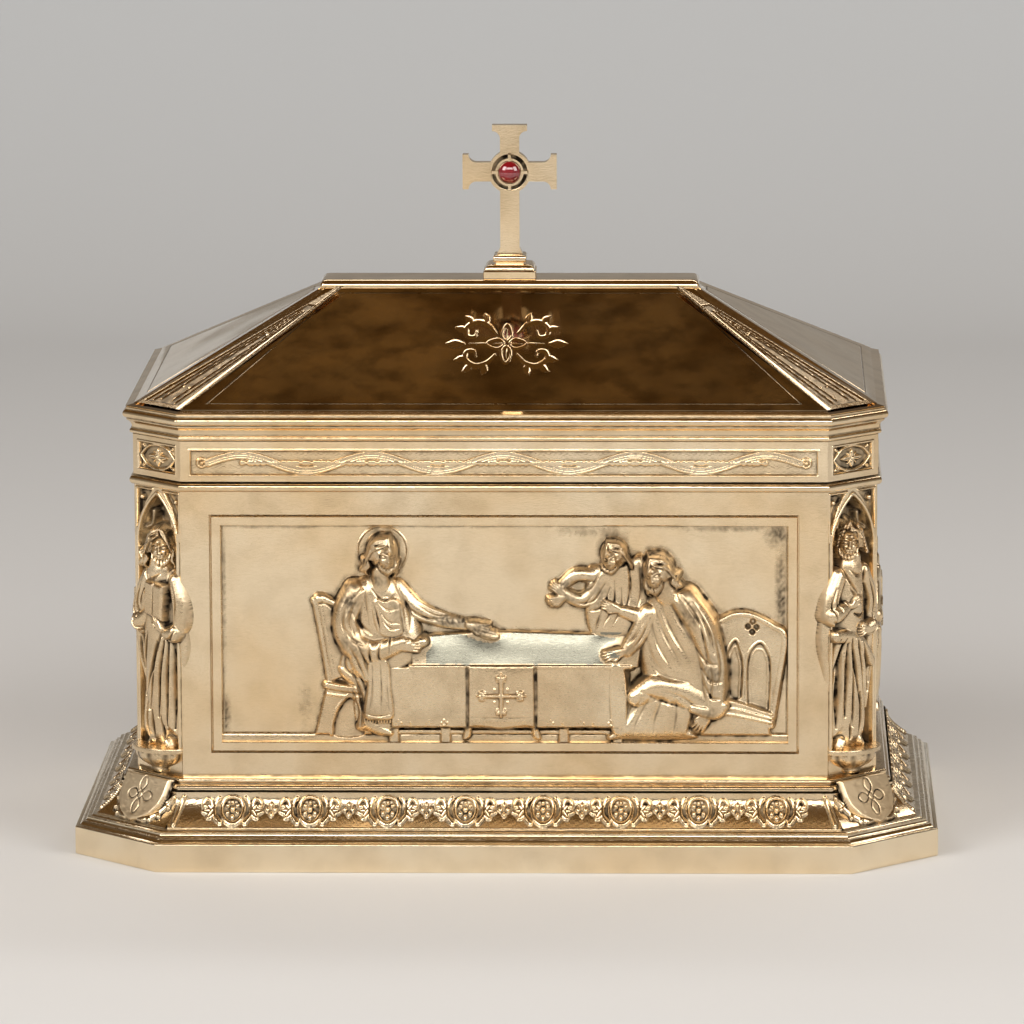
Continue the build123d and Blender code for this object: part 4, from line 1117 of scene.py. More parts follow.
def companion_far(work):
    """The farther of the two companions, bent forward with his hands together."""
    work.pad([(19, 68.4), (22, 69.2), (27, 69.5), (31.5, 71.8), (33, 66), (33, 55), (28, 52.2),
              (20.5, 52.6), (18.6, 57.6),
              (18.8, 63)], 2.0, edge=2.2)
    work.stroke([(22.5, 66.2), (19.8, 61.8), (17.0, 61.0), (13.6, 62.6)], [2.3, 2.1, 1.7, 1.3],
                [1.6, 1.7, 1.6, 1.3], 0.9,
                blend=0.3)
    work.stroke([(20.2, 66.6), (16.6, 66.8), (13.2, 64.4)], [1.7, 1.6, 1.2], [1.3, 1.4, 1.1], 0.9,
                blend=0.25)
    lines(work, [[(22.2, 68.0), (19.6, 64.0), (16.4, 63.4)], [(23.2, 65.0), (20.6, 61.0), (17.4, 60.2)],
                 [(20.6, 65.4), (18.4, 65.4), (15.0, 65.0)], [(24.4, 64.2), (22.6, 59.6), (19.2, 58.4)],
                 [(20.4, 62.4), (18.6, 60.4), (16.8, 60.6)]], 0.3, 0.6, stain=0.2)
    lines(work, [[(25.4, 65.6), (25.2, 60.0), (22.6, 55.0)], [(28.6, 70.0), (29.0, 64.0), (27.4, 57.0)],
                 [(31.0, 69.6), (31.6, 64.0), (30.4, 59.0)], [(27.0, 64.0), (26.8, 59.0), (25.0, 55.4)],
                 [(22.4, 58.6), (21.4, 55.8), (20.6, 53.2)]], 0.32, 0.6)
    hand(work, (13.8, 62.6), (12.4, 63.6), 1.7, 0.78, thumb=-1)
    hand(work, (13.6, 61.6), (11.9, 61.0), 1.9, 0.78, thumb=1)
    hand(work, (27.0, 58.8), (24.2, 59.8), 2.3, 0.85, thumb=1)
    work.stroke([(31.2, 57.4), (27.4, 58.6)], [1.9, 1.4], 1.2, 1.9, blend=0.2)
    head(work, 24.9, 71.0, 8.6, -0.65, tilt=8, lift=0.6, beard=0.25, hair="short")


def chair_right(work):
    """The chair on the right: a curved back pierced with four holes over two lancets."""
    back = [(48.8, 55.0), (50.2, 57.0), (52.8, 58.2), (55.6, 58.3), (58.6, 57.4), (61.8, 55.6),
            (65.0, 52.9), (65.0, 51.2),
            (63.6, 42.0), (61.8, 31.2), (49.5, 31.2), (48.6, 42)]
    work.pad(back, 1.5, edge=0.8, smooth=False)
    rim = [(50.0, 56.4), (52.8, 57.6), (55.6, 57.7), (58.4, 56.8), (61.6, 55.0), (64.4, 52.3),
           (63.0, 42), (61.3, 31.6)]
    work.stroke(rim, 0.62, 0.55, 1.4, flat=3)
    for u, v in ((56.0, 54.9), (57.9, 54.7), (57.1, 56.0), (57.0, 53.6)):
        cut(work, circle(u, v, 0.62), 0.3)
    for left, right, foot, spring, apex in ((50.6, 54.8, 38.6, 46.0, 52.0), (55.6, 61.2, 35.8, 45.6, 51.4)):
        middle = (left + right) / 2 + 0.5
        outline = [(left, foot), (left - 0.1, spring), (left + 0.9, 0.5 * (spring + apex) + 1),
                   (middle, apex),
                   (right - 0.5, 0.5 * (spring + apex) + 0.6), (right + 0.3, spring), (right, foot)]
        cut(work, outline, 0.85)
        work.stroke(outline, 0.3, 0.35, 1.4, per_span=4)
        inner = [(u + (0.9 if u < middle else -0.9), v - 0.6) for u, v in outline[:3]]
        inner += [(middle, apex - 1.9)] + [(u - 0.9, v - 0.6) for u, v in outline[4:]]
        work.stroke(inner, 0.2, 0.35, 0.8, per_span=4, blend=0.05)
    work.pad([(45, 38.4), (50.5, 38.6), (56, 37.0), (61.4, 34.6), (61.2, 30.4), (61.6, 29.2),
              (45, 29.2)], 2.2, edge=0.8,
             smooth=False)
    for rise in (0.0, -1.6, -3.2):
        work.stroke([(47.5, 38.2 + rise), (53, 37.2 + 0.9 * rise), (61.4, 34.4 + 0.6 * rise)], 0.35, 0.4,
                    2.1, flat=3)


def companion_near(work):
    """The nearer companion: seated with his back half turned, one hand on the table."""
    work.pad([(37.6, 66.6), (41.2, 64.4), (44.6, 61.2), (47.8, 56.6), (50.2, 51.6), (51.6, 46.6),
              (51.2, 42), (49.6, 38.6),
              (44, 37.4), (36, 38.6), (32.2, 42), (31.0, 48), (31.4, 55), (32.6, 60.6), (34.8, 64.6)],
             3.6, edge=5.0)
    work.pad([(50.6, 43.2), (48.0, 38.0), (43.6, 31.6), (43.4, 28.4), (24.6, 28.4), (26.0, 32.4),
              (29.0, 37.2), (31.6, 41.0),
              (36.8, 43.0), (44, 44.4)], 3.4, edge=3.4)
    work.stroke([(33.2, 58.0), (30.4, 52.6), (28.2, 49.6)], [2.4, 2.2, 1.7], [1.7, 1.7, 1.4], 2.1, blend=0.3)
    lines(work, [[(33.6, 57.4), (31.6, 52.8), (29.6, 50.0)], [(32.0, 56.4), (29.8, 52.8), (28.4, 51.2)]],
          0.3, 0.6)
    hand(work, (28.0, 49.6), (24.6, 48.6), 2.9, 0.95, thumb=1, curl=0.9)
    work.stroke([(30.4, 38.6), (34.6, 41.0), (40.0, 40.0), (45.4, 37.4)], [2.2, 3.0, 3.1, 2.6],
                [1.6, 2.0, 1.9, 1.4], 2.6,
                blend=0.6)
    work.stroke([(41.6, 61.0), (45.4, 55.6), (47.6, 49.0), (48.4, 42.0), (48.4, 36.6)],
                [3.2, 3.3, 3.1, 2.8, 2.1],
                [2.0, 2.3, 2.4, 2.2, 1.7], 3.0, blend=0.5)
    lines(work, [[(40.8, 62.6), (44.4, 57.4), (46.2, 52.0)], [(43.2, 61.2), (46.6, 55.6), (48.4, 49.4)],
                 [(45.2, 55.0), (46.6, 48.2), (46.8, 41.8)], [(48.6, 52.6), (49.8, 46.6), (49.4, 40.8)],
                 [(44.0, 50.6), (46.4, 47.4), (49.4, 46.6)], [(45.4, 45.6), (47.4, 42.8), (50.0, 42.6)],
                 [(46.0, 41.8), (47.6, 39.0), (49.6, 38.6)], [(47.2, 47.6), (47.6, 42.6), (47.2, 37.4)]],
          0.36, 0.75,
          stain=0.15)
    lines(work, [[(42.0, 60.0), (45.6, 54.6), (47.4, 48.6)], [(44.8, 59.6), (48.0, 53.6), (49.2, 47.6)]],
          0.4, -0.4)
    lines(work, [[(35.4, 62.4), (38.4, 54.6), (42.6, 47.4)], [(34.4, 60.2), (36.8, 53.6), (40.6, 46.6)],
                 [(37.2, 63.2), (40.2, 57.0), (43.2, 51.6)], [(33.6, 57.4), (35.2, 51.4), (38.6, 45.4)],
                 [(39.0, 63.6), (42.0, 58.4)], [(32.8, 52.4), (34.2, 47.6), (37.2, 44.2)],
                 [(33.8, 46.6), (37.0, 43.6), (42.4, 42.6)]], 0.5, 0.42)
    lines(work, [[(34.8, 61.0), (37.4, 54.4), (41.4, 47.2)], [(36.6, 62.4), (39.4, 56.0), (42.8, 50.0)],
                 [(33.8, 54.6), (35.6, 49.2), (38.8, 44.8)]], 0.5, -0.2)
    lines(work, [[(31.8, 38.8), (27.6, 32.6), (26.4, 29.0)], [(33.8, 39.2), (30.4, 33.0), (29.6, 29.0)],
                 [(36.4, 38.6), (34.6, 33.4), (34.2, 29.0)], [(39.6, 38.0), (39.4, 33.4), (38.6, 29.0)],
                 [(43.2, 36.4), (43.0, 32.4), (41.4, 29.0)], [(36.0, 40.8), (41.4, 38.6), (46.4, 34.4)],
                 [(31.6, 40.2), (35.6, 38.2), (41.2, 36.2)]], 0.5, 0.5, stain=0.1)
    lines(work, [[(30.4, 37.6), (27.2, 31.6)], [(35.2, 38.4), (32.6, 31.4)],
                 [(38.0, 37.8), (37.0, 31.2)]], 0.45, -0.4)
    work.stroke([(43.6, 36.2), (48.2, 35.2), (50.4, 36.8)], [1.2, 1.6, 1.2], 1.2, 3.4, blend=0.2)
    hand(work, (46.8, 34.8), (45.4, 32.8), 3.1, 1.05, thumb=-1)
    work.stroke([(27.0, 30.2), (24.4, 29.0)], [1.2, 0.7], 1.2, 1.8)
    work.stroke([(36.4, 65.4), (37.4, 62.6)], [2.2, 2.6], 1.8, 2.6, blend=0.4)
    head(work, 34.9, 67.4, 9.4, -0.72, tilt=12, lift=1.7, beard=0.75, hair="long", crown=1.05)


def soften(work, reach, share):
    """Round the broad forms: body swells in the middle, and the chased lines lie in it."""
    body = np.clip(work.h / 0.9, 0, 1)
    broad = blurred(work.h, reach / work.step)
    work.h = blurred(work.h * (1 - 0.35 * share * body) + share * body * (broad - 0.6), 0.55)
    work.h = np.where(body > 0, work.h, np.minimum(work.h, 0.02))


def plaque_field(half_u, step):
    """An empty field inside a plaque's border."""
    return Chasing((-half_u + PLAQUE_BORDER, half_u - PLAQUE_BORDER),
                   (PLAQUE_LOW + PLAQUE_BORDER, PLAQUE_HIGH - PLAQUE_BORDER), step)


def supper():
    """The whole scene over the recessed field, from the farthest layer to the nearest."""
    work = plaque_field(PLAQUE_HALF, 0.16)
    work.stroke([(-64.6, 28.0), (64.6, 28.0)], 1.6, 0.8, flat=4)
    for layer in (chair_left, companion_far, chair_right, table, man_left, companion_near):
        layer(work)
    soften(work, 1.5, 0.55)
    return work


def relief_shade(work):
    """Dark for a relief: patina deep in its folds, and a patchy painted shade on the field round the
    figures.
    """
    patchy = 0.5 + 0.5 * ripple(work.U, work.V, 1.1, (1.9, 0.8), (0.9, 1.4, 1.3))
    dark = work.shade(fine=0.26, broad=1.0, fine_gain=5.5, broad_gain=1.5, steep=0.4)
    return np.where(work.h > 0.12, dark * (0.62 + 0.5 * patchy), dark * (0.30 + 0.32 * patchy))


def ring_faces(rings, count):
    """Quads between so many rings, each of count points."""
    return [(r * count + k, r * count + (k + 1) % count, (r + 1) * count + (k + 1) % count,
             (r + 1) * count + k)
            for r in range(rings - 1) for k in range(count)]


def plate_rings(half_u, low, high, rings):
    """A plate's rim as nested rectangles, each (how far in, height)."""
    points, middle = [], (low + high) / 2
    for inward, h in rings:
        a, b = half_u - inward, (high - low) / 2 - inward
        points += [(-a, middle - b, h), (a, middle - b, h), (a, middle + b, h), (-a, middle + b, h)]
    return np.array(points), ring_faces(len(rings), 4)


def relief_plate(name, side, half_u, work, dark):
    """The plate behind a relief: a bevelled border, and a field that is never quite flat."""
    rings = ((0, PLAQUE_RECESS - PLAQUE_SHEET), (0, PLAQUE_RECESS - 0.2), (0.2, PLAQUE_RECESS),
             (PLAQUE_BORDER - 0.35, PLAQUE_RECESS), (PLAQUE_BORDER - 0.15, PLAQUE_RECESS - 0.12),
             (PLAQUE_BORDER + 0.2, 0.05), (PLAQUE_BORDER + 0.45, -0.03))
    flat, faces = plate_rings(half_u, PLAQUE_LOW, PLAQUE_HIGH, rings)
    faces.append((3, 2, 1, 0))
    shade = np.repeat((0.2, 0.35, 0.02, 0.0, 0.05, 0.6, 0.35), 4)
    u = np.linspace(work.u[0] + 0.4, work.u[-1] - 0.4, int((work.u[-1] - work.u[0]) / 0.34))
    v = np.linspace(work.v[0] + 0.4, work.v[-1] - 0.4, int((work.v[-1] - work.v[0]) / 0.34))
    U, V = np.meshgrid(u, v)
    rows = np.clip(np.searchsorted(work.v, v), 0, len(work.v) - 1)
    columns = np.clip(np.searchsorted(work.u, u), 0, len(work.u) - 1)
    swell = 0.5 * np.sin(0.21 * U + 1.3 * np.sin(0.17 * V)) + 0.5 * np.sin(0.31 * V + 1.1 * np.sin(0.13 * U))
    field = np.stack([U, V, -0.06 + 0.03 * swell], -1).reshape(-1, 3)
    cell = np.arange(U.size).reshape(U.shape) + len(flat)
    faces += grid_faces(cell).tolist()
    spots = np.vstack([flat, field])
    shade = np.append(shade, dark[np.ix_(rows, columns)].ravel())
    points = on_side(side, spots[:, 0], spots[:, 1], FIELD_INSET - spots[:, 2])
    return build(name, points, faces, chased, shade, sharp_angle=28)


def field_stain(work, spots):
    """Loose brown patches that polishing left in the field: (u, v, reach in u, in v, amount)."""
    ragged = 0.5 + 0.5 * ripple(work.U, work.V, 2.3, (2.0, 1.7), (1.9, 1.6, 2.9))
    patch = np.zeros(work.h.shape)
    for u, v, reach_u, reach_v, amount in spots:
        spot = np.exp(-((work.U - u) / reach_u) ** 2 - ((work.V - v) / reach_v) ** 2)
        patch = np.maximum(patch, amount * np.clip(spot * (0.55 + 0.9 * ragged), 0, 1))
    return patch


def standing_out(side, inset):
    """Places points on one side of the casket, standing out from an inset."""
    def place(u, v, h):
        return on_side(side, u, v, inset - h)
    return place


supper_work = supper()
supper_dark = relief_shade(supper_work)
stains = field_stain(supper_work,
                     ((-64.4, 33, 1.0, 4.5, 0.9), (-60, 28.6, 7, 0.9, 0.6), (63.8, 62, 1.3, 12, 0.8),
                                   (63.0, 76.5, 3, 3, 0.75), (52, 77.6, 12, 0.8, 0.5),
                      (-52, 77.9, 14, 0.5, 0.45),
                                   (-46, 36, 2.2, 5, 0.3), (0, 77.9, 60, 0.35, 0.4),
                      (-64.6, 60, 0.6, 18, 0.5),
                                   (20, 76.8, 9, 1.4, 0.35), (42, 30, 12, 0.8, 0.4),
                      (-34, 29, 12, 0.7, 0.45)))
table_top = (supper_work.U > -18) & (supper_work.U < 27) & (supper_work.V > 45.9) & (supper_work.V < 53.6)
table_top &= np.abs(np.gradient(supper_work.h, axis=1)) < 0.02
on_figures = field_stain(supper_work,
                         ((-35.5, 62, 2.4, 5, 0.75), (-24.6, 60, 1.6, 4, 0.5), (-12, 56.4, 6, 1.8, 0.8),
                                       (-4, 54.4, 4.5, 2.0, 0.75), (-34.5, 51, 3.4, 2.6, 0.6),
                          (-29, 66, 3, 1.5, 0.6),
                                       (14, 63.6, 3.5, 3, 0.7), (21, 63, 3, 3.5, 0.5),
                          (42.5, 59.5, 2.4, 4.5, 0.75),
                                       (47.6, 44.5, 2.6, 4.5, 0.65), (47.5, 53.4, 1.8, 3, 0.4),
                          (46.4, 35.4, 2.6, 2, 0.5),
                                       (29, 50, 3.0, 1.6, 0.45), (25, 71.5, 3.6, 4, 0.3),
                          (-27.5, 72, 4, 4.5, 0.3),
                                       (35, 66, 3.6, 4, 0.35)))
supper_dark = np.where(supper_work.h > 0.5, np.maximum(supper_dark, on_figures), supper_dark)
supper_dark = np.where(table_top & (supper_dark < 0.12), -0.9, supper_dark)
plaque = relief_plate("front_plaque", 0, PLAQUE_HALF, supper_work, np.clip(supper_dark + stains, 0, 1))
for name, left, right in (("man_breaking_bread", -66, -20.4), ("table_with_runner", -20.4, 20.0),
                          ("two_companions", 20.0, 66)):
    figures = sheet_piece(name, supper_work, standing_out(0, FIELD_INSET), cast, supper_dark, floor=0.02,
                          span=(left, right))
    figures.parent = plaque
stands_for(plaque, "casket", "chased_gilt", "panel_front")

# ---- Corner posts ----
# Each canted corner is a cast post with a pointed, cusped niche and sunk spandrels; the floors of both are
# painted dark as shade, so that the spandrels look pierced.
# The walls are soldered to its sides.
POST_LOW, POST_HIGH = level("corner_post_front_right", 0), level("corner_post_front_right", 1)
POST_DEPTH, NICHE_DEPTH, SPANDREL_FLOOR = 6.0, 3.5, -1.1
NICHE_HALF, NICHE_SILL, NICHE_SPRING, NICHE_APEX = 6.2, level("corner_corbel_front_right", 1), 72.5, 83.8


def pointed_arch(half, foot, spring, apex, steps=9):
    """The outline of a pointed opening, from its left foot round to its right one."""
    rise = apex - spring
    radius = (half * half + rise * rise) / (2 * half)
    turn = math.asin(min(1.0, rise / radius))
    left = [(radius - half - radius * math.cos(turn * k / steps),
             spring + radius * math.sin(turn * k / steps))
            for k in range(steps + 1)]
    return [(-half, foot)] + left + [(-u, v) for u, v in reversed(left[:-1])] + [(half, foot)]


def corner_post():
    """The face of a post: a sunk niche under an arch, a thin frame, and two dark spandrels."""
    half = side_length(1, WALL_INSET) / 2
    work = Chasing((-half, half), (POST_LOW, POST_HIGH), 0.15)
    arch = pointed_arch(NICHE_HALF, NICHE_SILL, NICHE_SPRING, NICHE_APEX)
    cut(work, arch, -NICHE_DEPTH, smooth=False)
    outer = pointed_arch(NICHE_HALF + 0.75, NICHE_SILL - 0.4, NICHE_SPRING, NICHE_APEX + 1.2)
    work.stroke(outer, 0.42, 0.5, 0.0, per_span=2, blend=0.08, flat=3)
    for way in (-1, 1):
        spandrel = [(way * 2.3, 85.2), (way * 7.1, 85.2), (way * 7.1, 76.5), (way * 6.2, 79.0),
                    (way * 4.4, 82.6)]
        cut(work, spandrel, SPANDREL_FLOOR, smooth=False)
        work.stroke([(way * 1.7, 85.6), (way * 7.5, 85.6), (way * 7.5, 74.5)], 0.22, 0.3, 0.0,
                    per_span=1, blend=0.05)
        work.dome((way * 5.9, 83.4), 0.7, 0.7, 1.2, SPANDREL_FLOOR)
        cusp = [(way * 5.4, 76.4), (way * 3.6, 77.2), (way * 3.1, 78.6), (way * 3.0, 80.2)]
        work.stroke(cusp, [0.75, 0.6, 0.5, 0.6], 1.3, -2.4, blend=0.2)
        side_line = way * (half - 0.25)
        work.stroke([(side_line, POST_LOW), (side_line, POST_HIGH)], 0.22, 0.18, 0, per_span=1)
    return work


post_work = corner_post()
# Painted shade: all that lies deeper than 0.6 mm, the niche and spandrel floors, is darkened by half again.
post_dark = np.clip(post_work.shade(fine_gain=5, broad_gain=0.5) + 0.5 * (post_work.h < -0.6), 0, 0.9)


for side in CORNER_SIDES:
    post = sheet_piece(f"corner_post_{SIDE_NAMES[side]}_cast", post_work, standing_out(side, WALL_INSET),
                       chased,
                       post_dark, back=-POST_DEPTH)
    stands_for(post, "casket", "chased_gilt", f"corner_post_{SIDE_NAMES[side]}")

# ---- Corner corbels ----
# A fluted half bowl under each figure, cast solid, with a thin moulded slab on top.
CORBEL_HALF, CORBEL_STAND = 8.0, 5.6
BOWL_POINTS, FLUTES = 73, 4.5
corbel_low, corbel_high = level("corner_corbel_front_right", 0), level("corner_corbel_front_right", 1)


def corbel_bowl():
    """A half bowl as rings of (u, v, h) points from foot to top."""
    profile = rounded((0.30, corbel_low), (0.34, corbel_low + 0.5), (0.30, corbel_low + 0.9),
                      ((0.62, corbel_low + 2.0), (0.86, corbel_high - 1.5)), (0.84, corbel_high - 1.2),
                      (0.98, corbel_high - 1.05), (1.0, corbel_high - 0.25), (0.985, corbel_high),
                      (0.4, corbel_high))
    turns = np.linspace(0, math.pi, BOWL_POINTS)
    rings = []
    for share, z in profile:
        flute = 1.0
        if corbel_low + 0.9 < z < corbel_high - 1.3:
            flute = 1 - 0.055 * np.abs(np.cos(FLUTES * turns)) ** 1.5
        reach = share * flute
        rings.append(np.stack([CORBEL_HALF * reach * np.cos(turns), np.full(BOWL_POINTS, z),
                               CORBEL_STAND * reach * np.sin(turns)], -1))
    return np.array(rings)


bowl = corbel_bowl()
for side in CORNER_SIDES:
    rows, columns = bowl.shape[:2]
    cell = np.arange(rows * columns).reshape(rows, columns)
    quads = grid_faces(cell[:, ::-1]).tolist()
    quads.append([int(i) for i in cell[-1]])
    quads.append([int(i) for i in cell[0, ::-1]])
    turns = np.linspace(0, math.pi, columns)
    # Painted shade: the flute grooves and the narrow foot under the bowl are darkened.
    hollow = 0.75 * np.abs(np.cos(FLUTES * turns))[None] ** 6 * np.ones((rows, 1))
    hollow[bowl[:, 0, 1] > corbel_high - 1.3] = 0
    hollow[1:4] = np.maximum(hollow[1:4], 0.5)
    points = on_side(side, bowl[..., 0], bowl[..., 1], WALL_INSET - bowl[..., 2]).reshape(-1, 3)
    corbel = build(f"corner_corbel_{SIDE_NAMES[side]}_bowl", points, quads, cast, hollow, sharp_angle=50)
    stands_for(corbel, "casket", "chased_gilt", f"corner_corbel_{SIDE_NAMES[side]}")

# ---- Corner figures ----
# Four robed saints, cast in very high relief, chased, and pinned into the niches. Two hold a
# book and two gather a mantle. Each head is cast apart and turned towards the front or back.
FIGURE_FLOOR = WALL_INSET + NICHE_DEPTH
NECK_OUT = 2.4


def saint_with_book():
    """A bearded man with an open book held before his chest."""
    work = Chasing((-13.8, 12.2), (25.7, 79.4), 0.13, ground=-0.6, drop=STEEP_SIDES)
    work.stroke([(3.4, 27.2), (4.4, 26.4)], [1.5, 1.2], 2.6, 3.2)
    work.stroke([(-3.6, 27.2), (-5.0, 26.4)], [1.5, 1.1], 2.4, 2.8)
    for u in (4.4, -5.0):
        lines(work, [[(u - 0.5, 25.8), (u - 0.4, 27.0)], [(u + 0.2, 25.8), (u + 0.2, 27.0)]], 0.18, 0.4)
    work.pad([(-4.6, 67.6), (-7.0, 66.2), (-8.6, 62), (-8.8, 56), (-8.6, 46), (-8.8, 38), (-9.6, 31),
              (-9.2, 27.2), (-3, 26.8),
              (3.4, 27.4), (7.6, 27.8), (8.2, 34), (7.8, 42), (8.4, 50), (8.2, 58), (7.4, 63.6),
              (5.6, 67), (1.5, 68.4)],
             4.8, 0.4, edge=6.0, blend=0.3)
    work.stroke([(-1.4, 66.4), (-2.2, 60), (-2.0, 52), (-1.6, 42), (-2.4, 31)], [4.4, 5.4, 5.8, 6.0, 6.2],
                [3.4, 3.6, 3.4, 3.2, 2.6], 2.8, blend=1.0)
    work.stroke([(-5.4, 65.2), (-8.0, 61.2), (-9.6, 56.6), (-8.6, 53.6)], [2.6, 2.9, 2.9, 2.3],
                [2.4, 2.6, 2.6, 2.2], 3.4,
                blend=0.4)
    work.stroke([(-9.0, 54.6), (-6.2, 55.6), (-3.4, 57.6)], [2.5, 2.1, 1.5], [2.4, 2.2, 1.6], 4.6, blend=0.3)
    work.stroke([(-9.6, 56.8), (-10.6, 52.0), (-9.6, 46.0), (-8.4, 40.6)], [2.0, 1.9, 1.5, 0.7],
                [2.2, 2.2, 1.8, 1.0], 2.4,
                blend=0.3)
    work.stroke([(6.2, 64.8), (8.2, 60.0), (8.4, 55.4), (6.4, 53.0)], [2.4, 2.6, 2.5, 2.1],
                [2.2, 2.4, 2.4, 2.2], 3.2,
                blend=0.4)
    work.stroke([(7.6, 53.2), (4.6, 53.0), (2.4, 54.2)], [2.3, 1.9, 1.4], [2.2, 2.0, 1.5], 4.6, blend=0.3)
    work.stroke([(8.2, 54.8), (8.8, 49.0), (7.8, 42.4)], [1.9, 1.7, 0.8], [2.0, 1.8, 1.0], 2.2, blend=0.3)
    lines(work, [[(1.6, 52.2), (-1.6, 45.5), (-5.6, 37.6)], [(0.2, 50.6), (-1.6, 43.0), (-3.4, 34.6)],
                 [(2.8, 50.8), (1.4, 43.0), (0.2, 33.0)], [(4.4, 51.0), (3.8, 42.4), (3.2, 31.0)],
                 [(6.0, 50.2), (6.0, 42.0), (5.8, 30.6)], [(-3.8, 52.4), (-5.4, 46.8), (-7.2, 41.0)],
                 [(-5.8, 52.6), (-7.4, 47.6), (-7.8, 42.2)], [(-7.2, 38.6), (-7.4, 33.0), (-8.0, 28.4)],
                 [(-5.0, 36.8), (-5.0, 31.8), (-5.6, 27.8)], [(-2.6, 34.2), (-2.4, 30.6), (-2.4, 27.6)],
                 [(1.0, 33.0), (1.4, 30.0), (1.2, 27.8)]], 0.46, 1.35, stain=0.2)
    lines(work, [[(2.2, 51.4), (0.2, 44.2), (-1.6, 34.0)], [(3.6, 51.0), (2.6, 42.6), (1.8, 31.4)],
                 [(5.2, 50.6), (4.9, 42.2), (4.6, 30.4)], [(-6.2, 38.0), (-6.2, 32.4), (-6.8, 28.0)],
                 [(-3.8, 35.6), (-3.6, 31.2), (-4.0, 27.8)], [(-4.6, 51.6), (-6.4, 46.8), (-7.4, 41.6)]],
          0.5, -0.55)
    lines(work, [[(-8.8, 62.6), (-10.2, 58.4), (-9.2, 54.8)], [(-7.0, 63.6), (-8.6, 59.4), (-7.6, 56.0)],
                 [(-5.6, 62.4), (-6.8, 59.2), (-5.8, 57.0)], [(-10.8, 55.6), (-9.0, 53.6), (-6.6, 53.4)],
                 [(-9.6, 50.6), (-9.4, 47.0), (-8.4, 43.4)], [(7.0, 63.8), (8.2, 60.0), (7.4, 55.8)],
                 [(5.4, 62.8), (6.6, 59.4), (6.2, 56.4)], [(8.8, 53.8), (6.8, 51.8), (3.8, 51.4)],
                 [(-4.8, 66.2), (-3.2, 64.4), (-2.4, 61.8)], [(3.6, 67.0), (4.2, 64.8), (4.4, 62.4)]],
          0.36, 0.9)
    book = [(-3.4, 57.0), (4.4, 55.8), (5.2, 64.2), (-2.6, 65.2)]
    work.pad(book, 1.1, 6.0, edge=0.3, smooth=False, blend=0.04)
    work.pad([(-3.0, 57.6), (4.0, 56.5), (4.8, 63.8), (-2.3, 64.8)], 0.35, 7.1, edge=0.25, smooth=False,
             blend=0.03)
    lines(work, [[(0.5, 56.9), (1.2, 64.3)]], 0.26, 0.7, stain=0.4)
    lines(work, [[(-2.9, 57.1), (0.4, 56.6)], [(1.0, 56.5), (3.9, 56.1)]], 0.13, 0.4, stain=0.3)
    hand(work, (-4.4, 58.4), (-3.0, 60.8), 6.6, 0.9, thumb=-1)
    hand(work, (3.6, 54.0), (1.4, 55.4), 6.4, 0.9, thumb=1)
    work.stroke([(-1.4, 69.0), (-1.4, 66.6)], [2.0, 2.6], 2.0, 4.2, blend=0.4)
    lines(work, [[(-4.0, 66.6), (-1.4, 65.2), (1.6, 66.6)]], 0.3, 0.6)
    return work


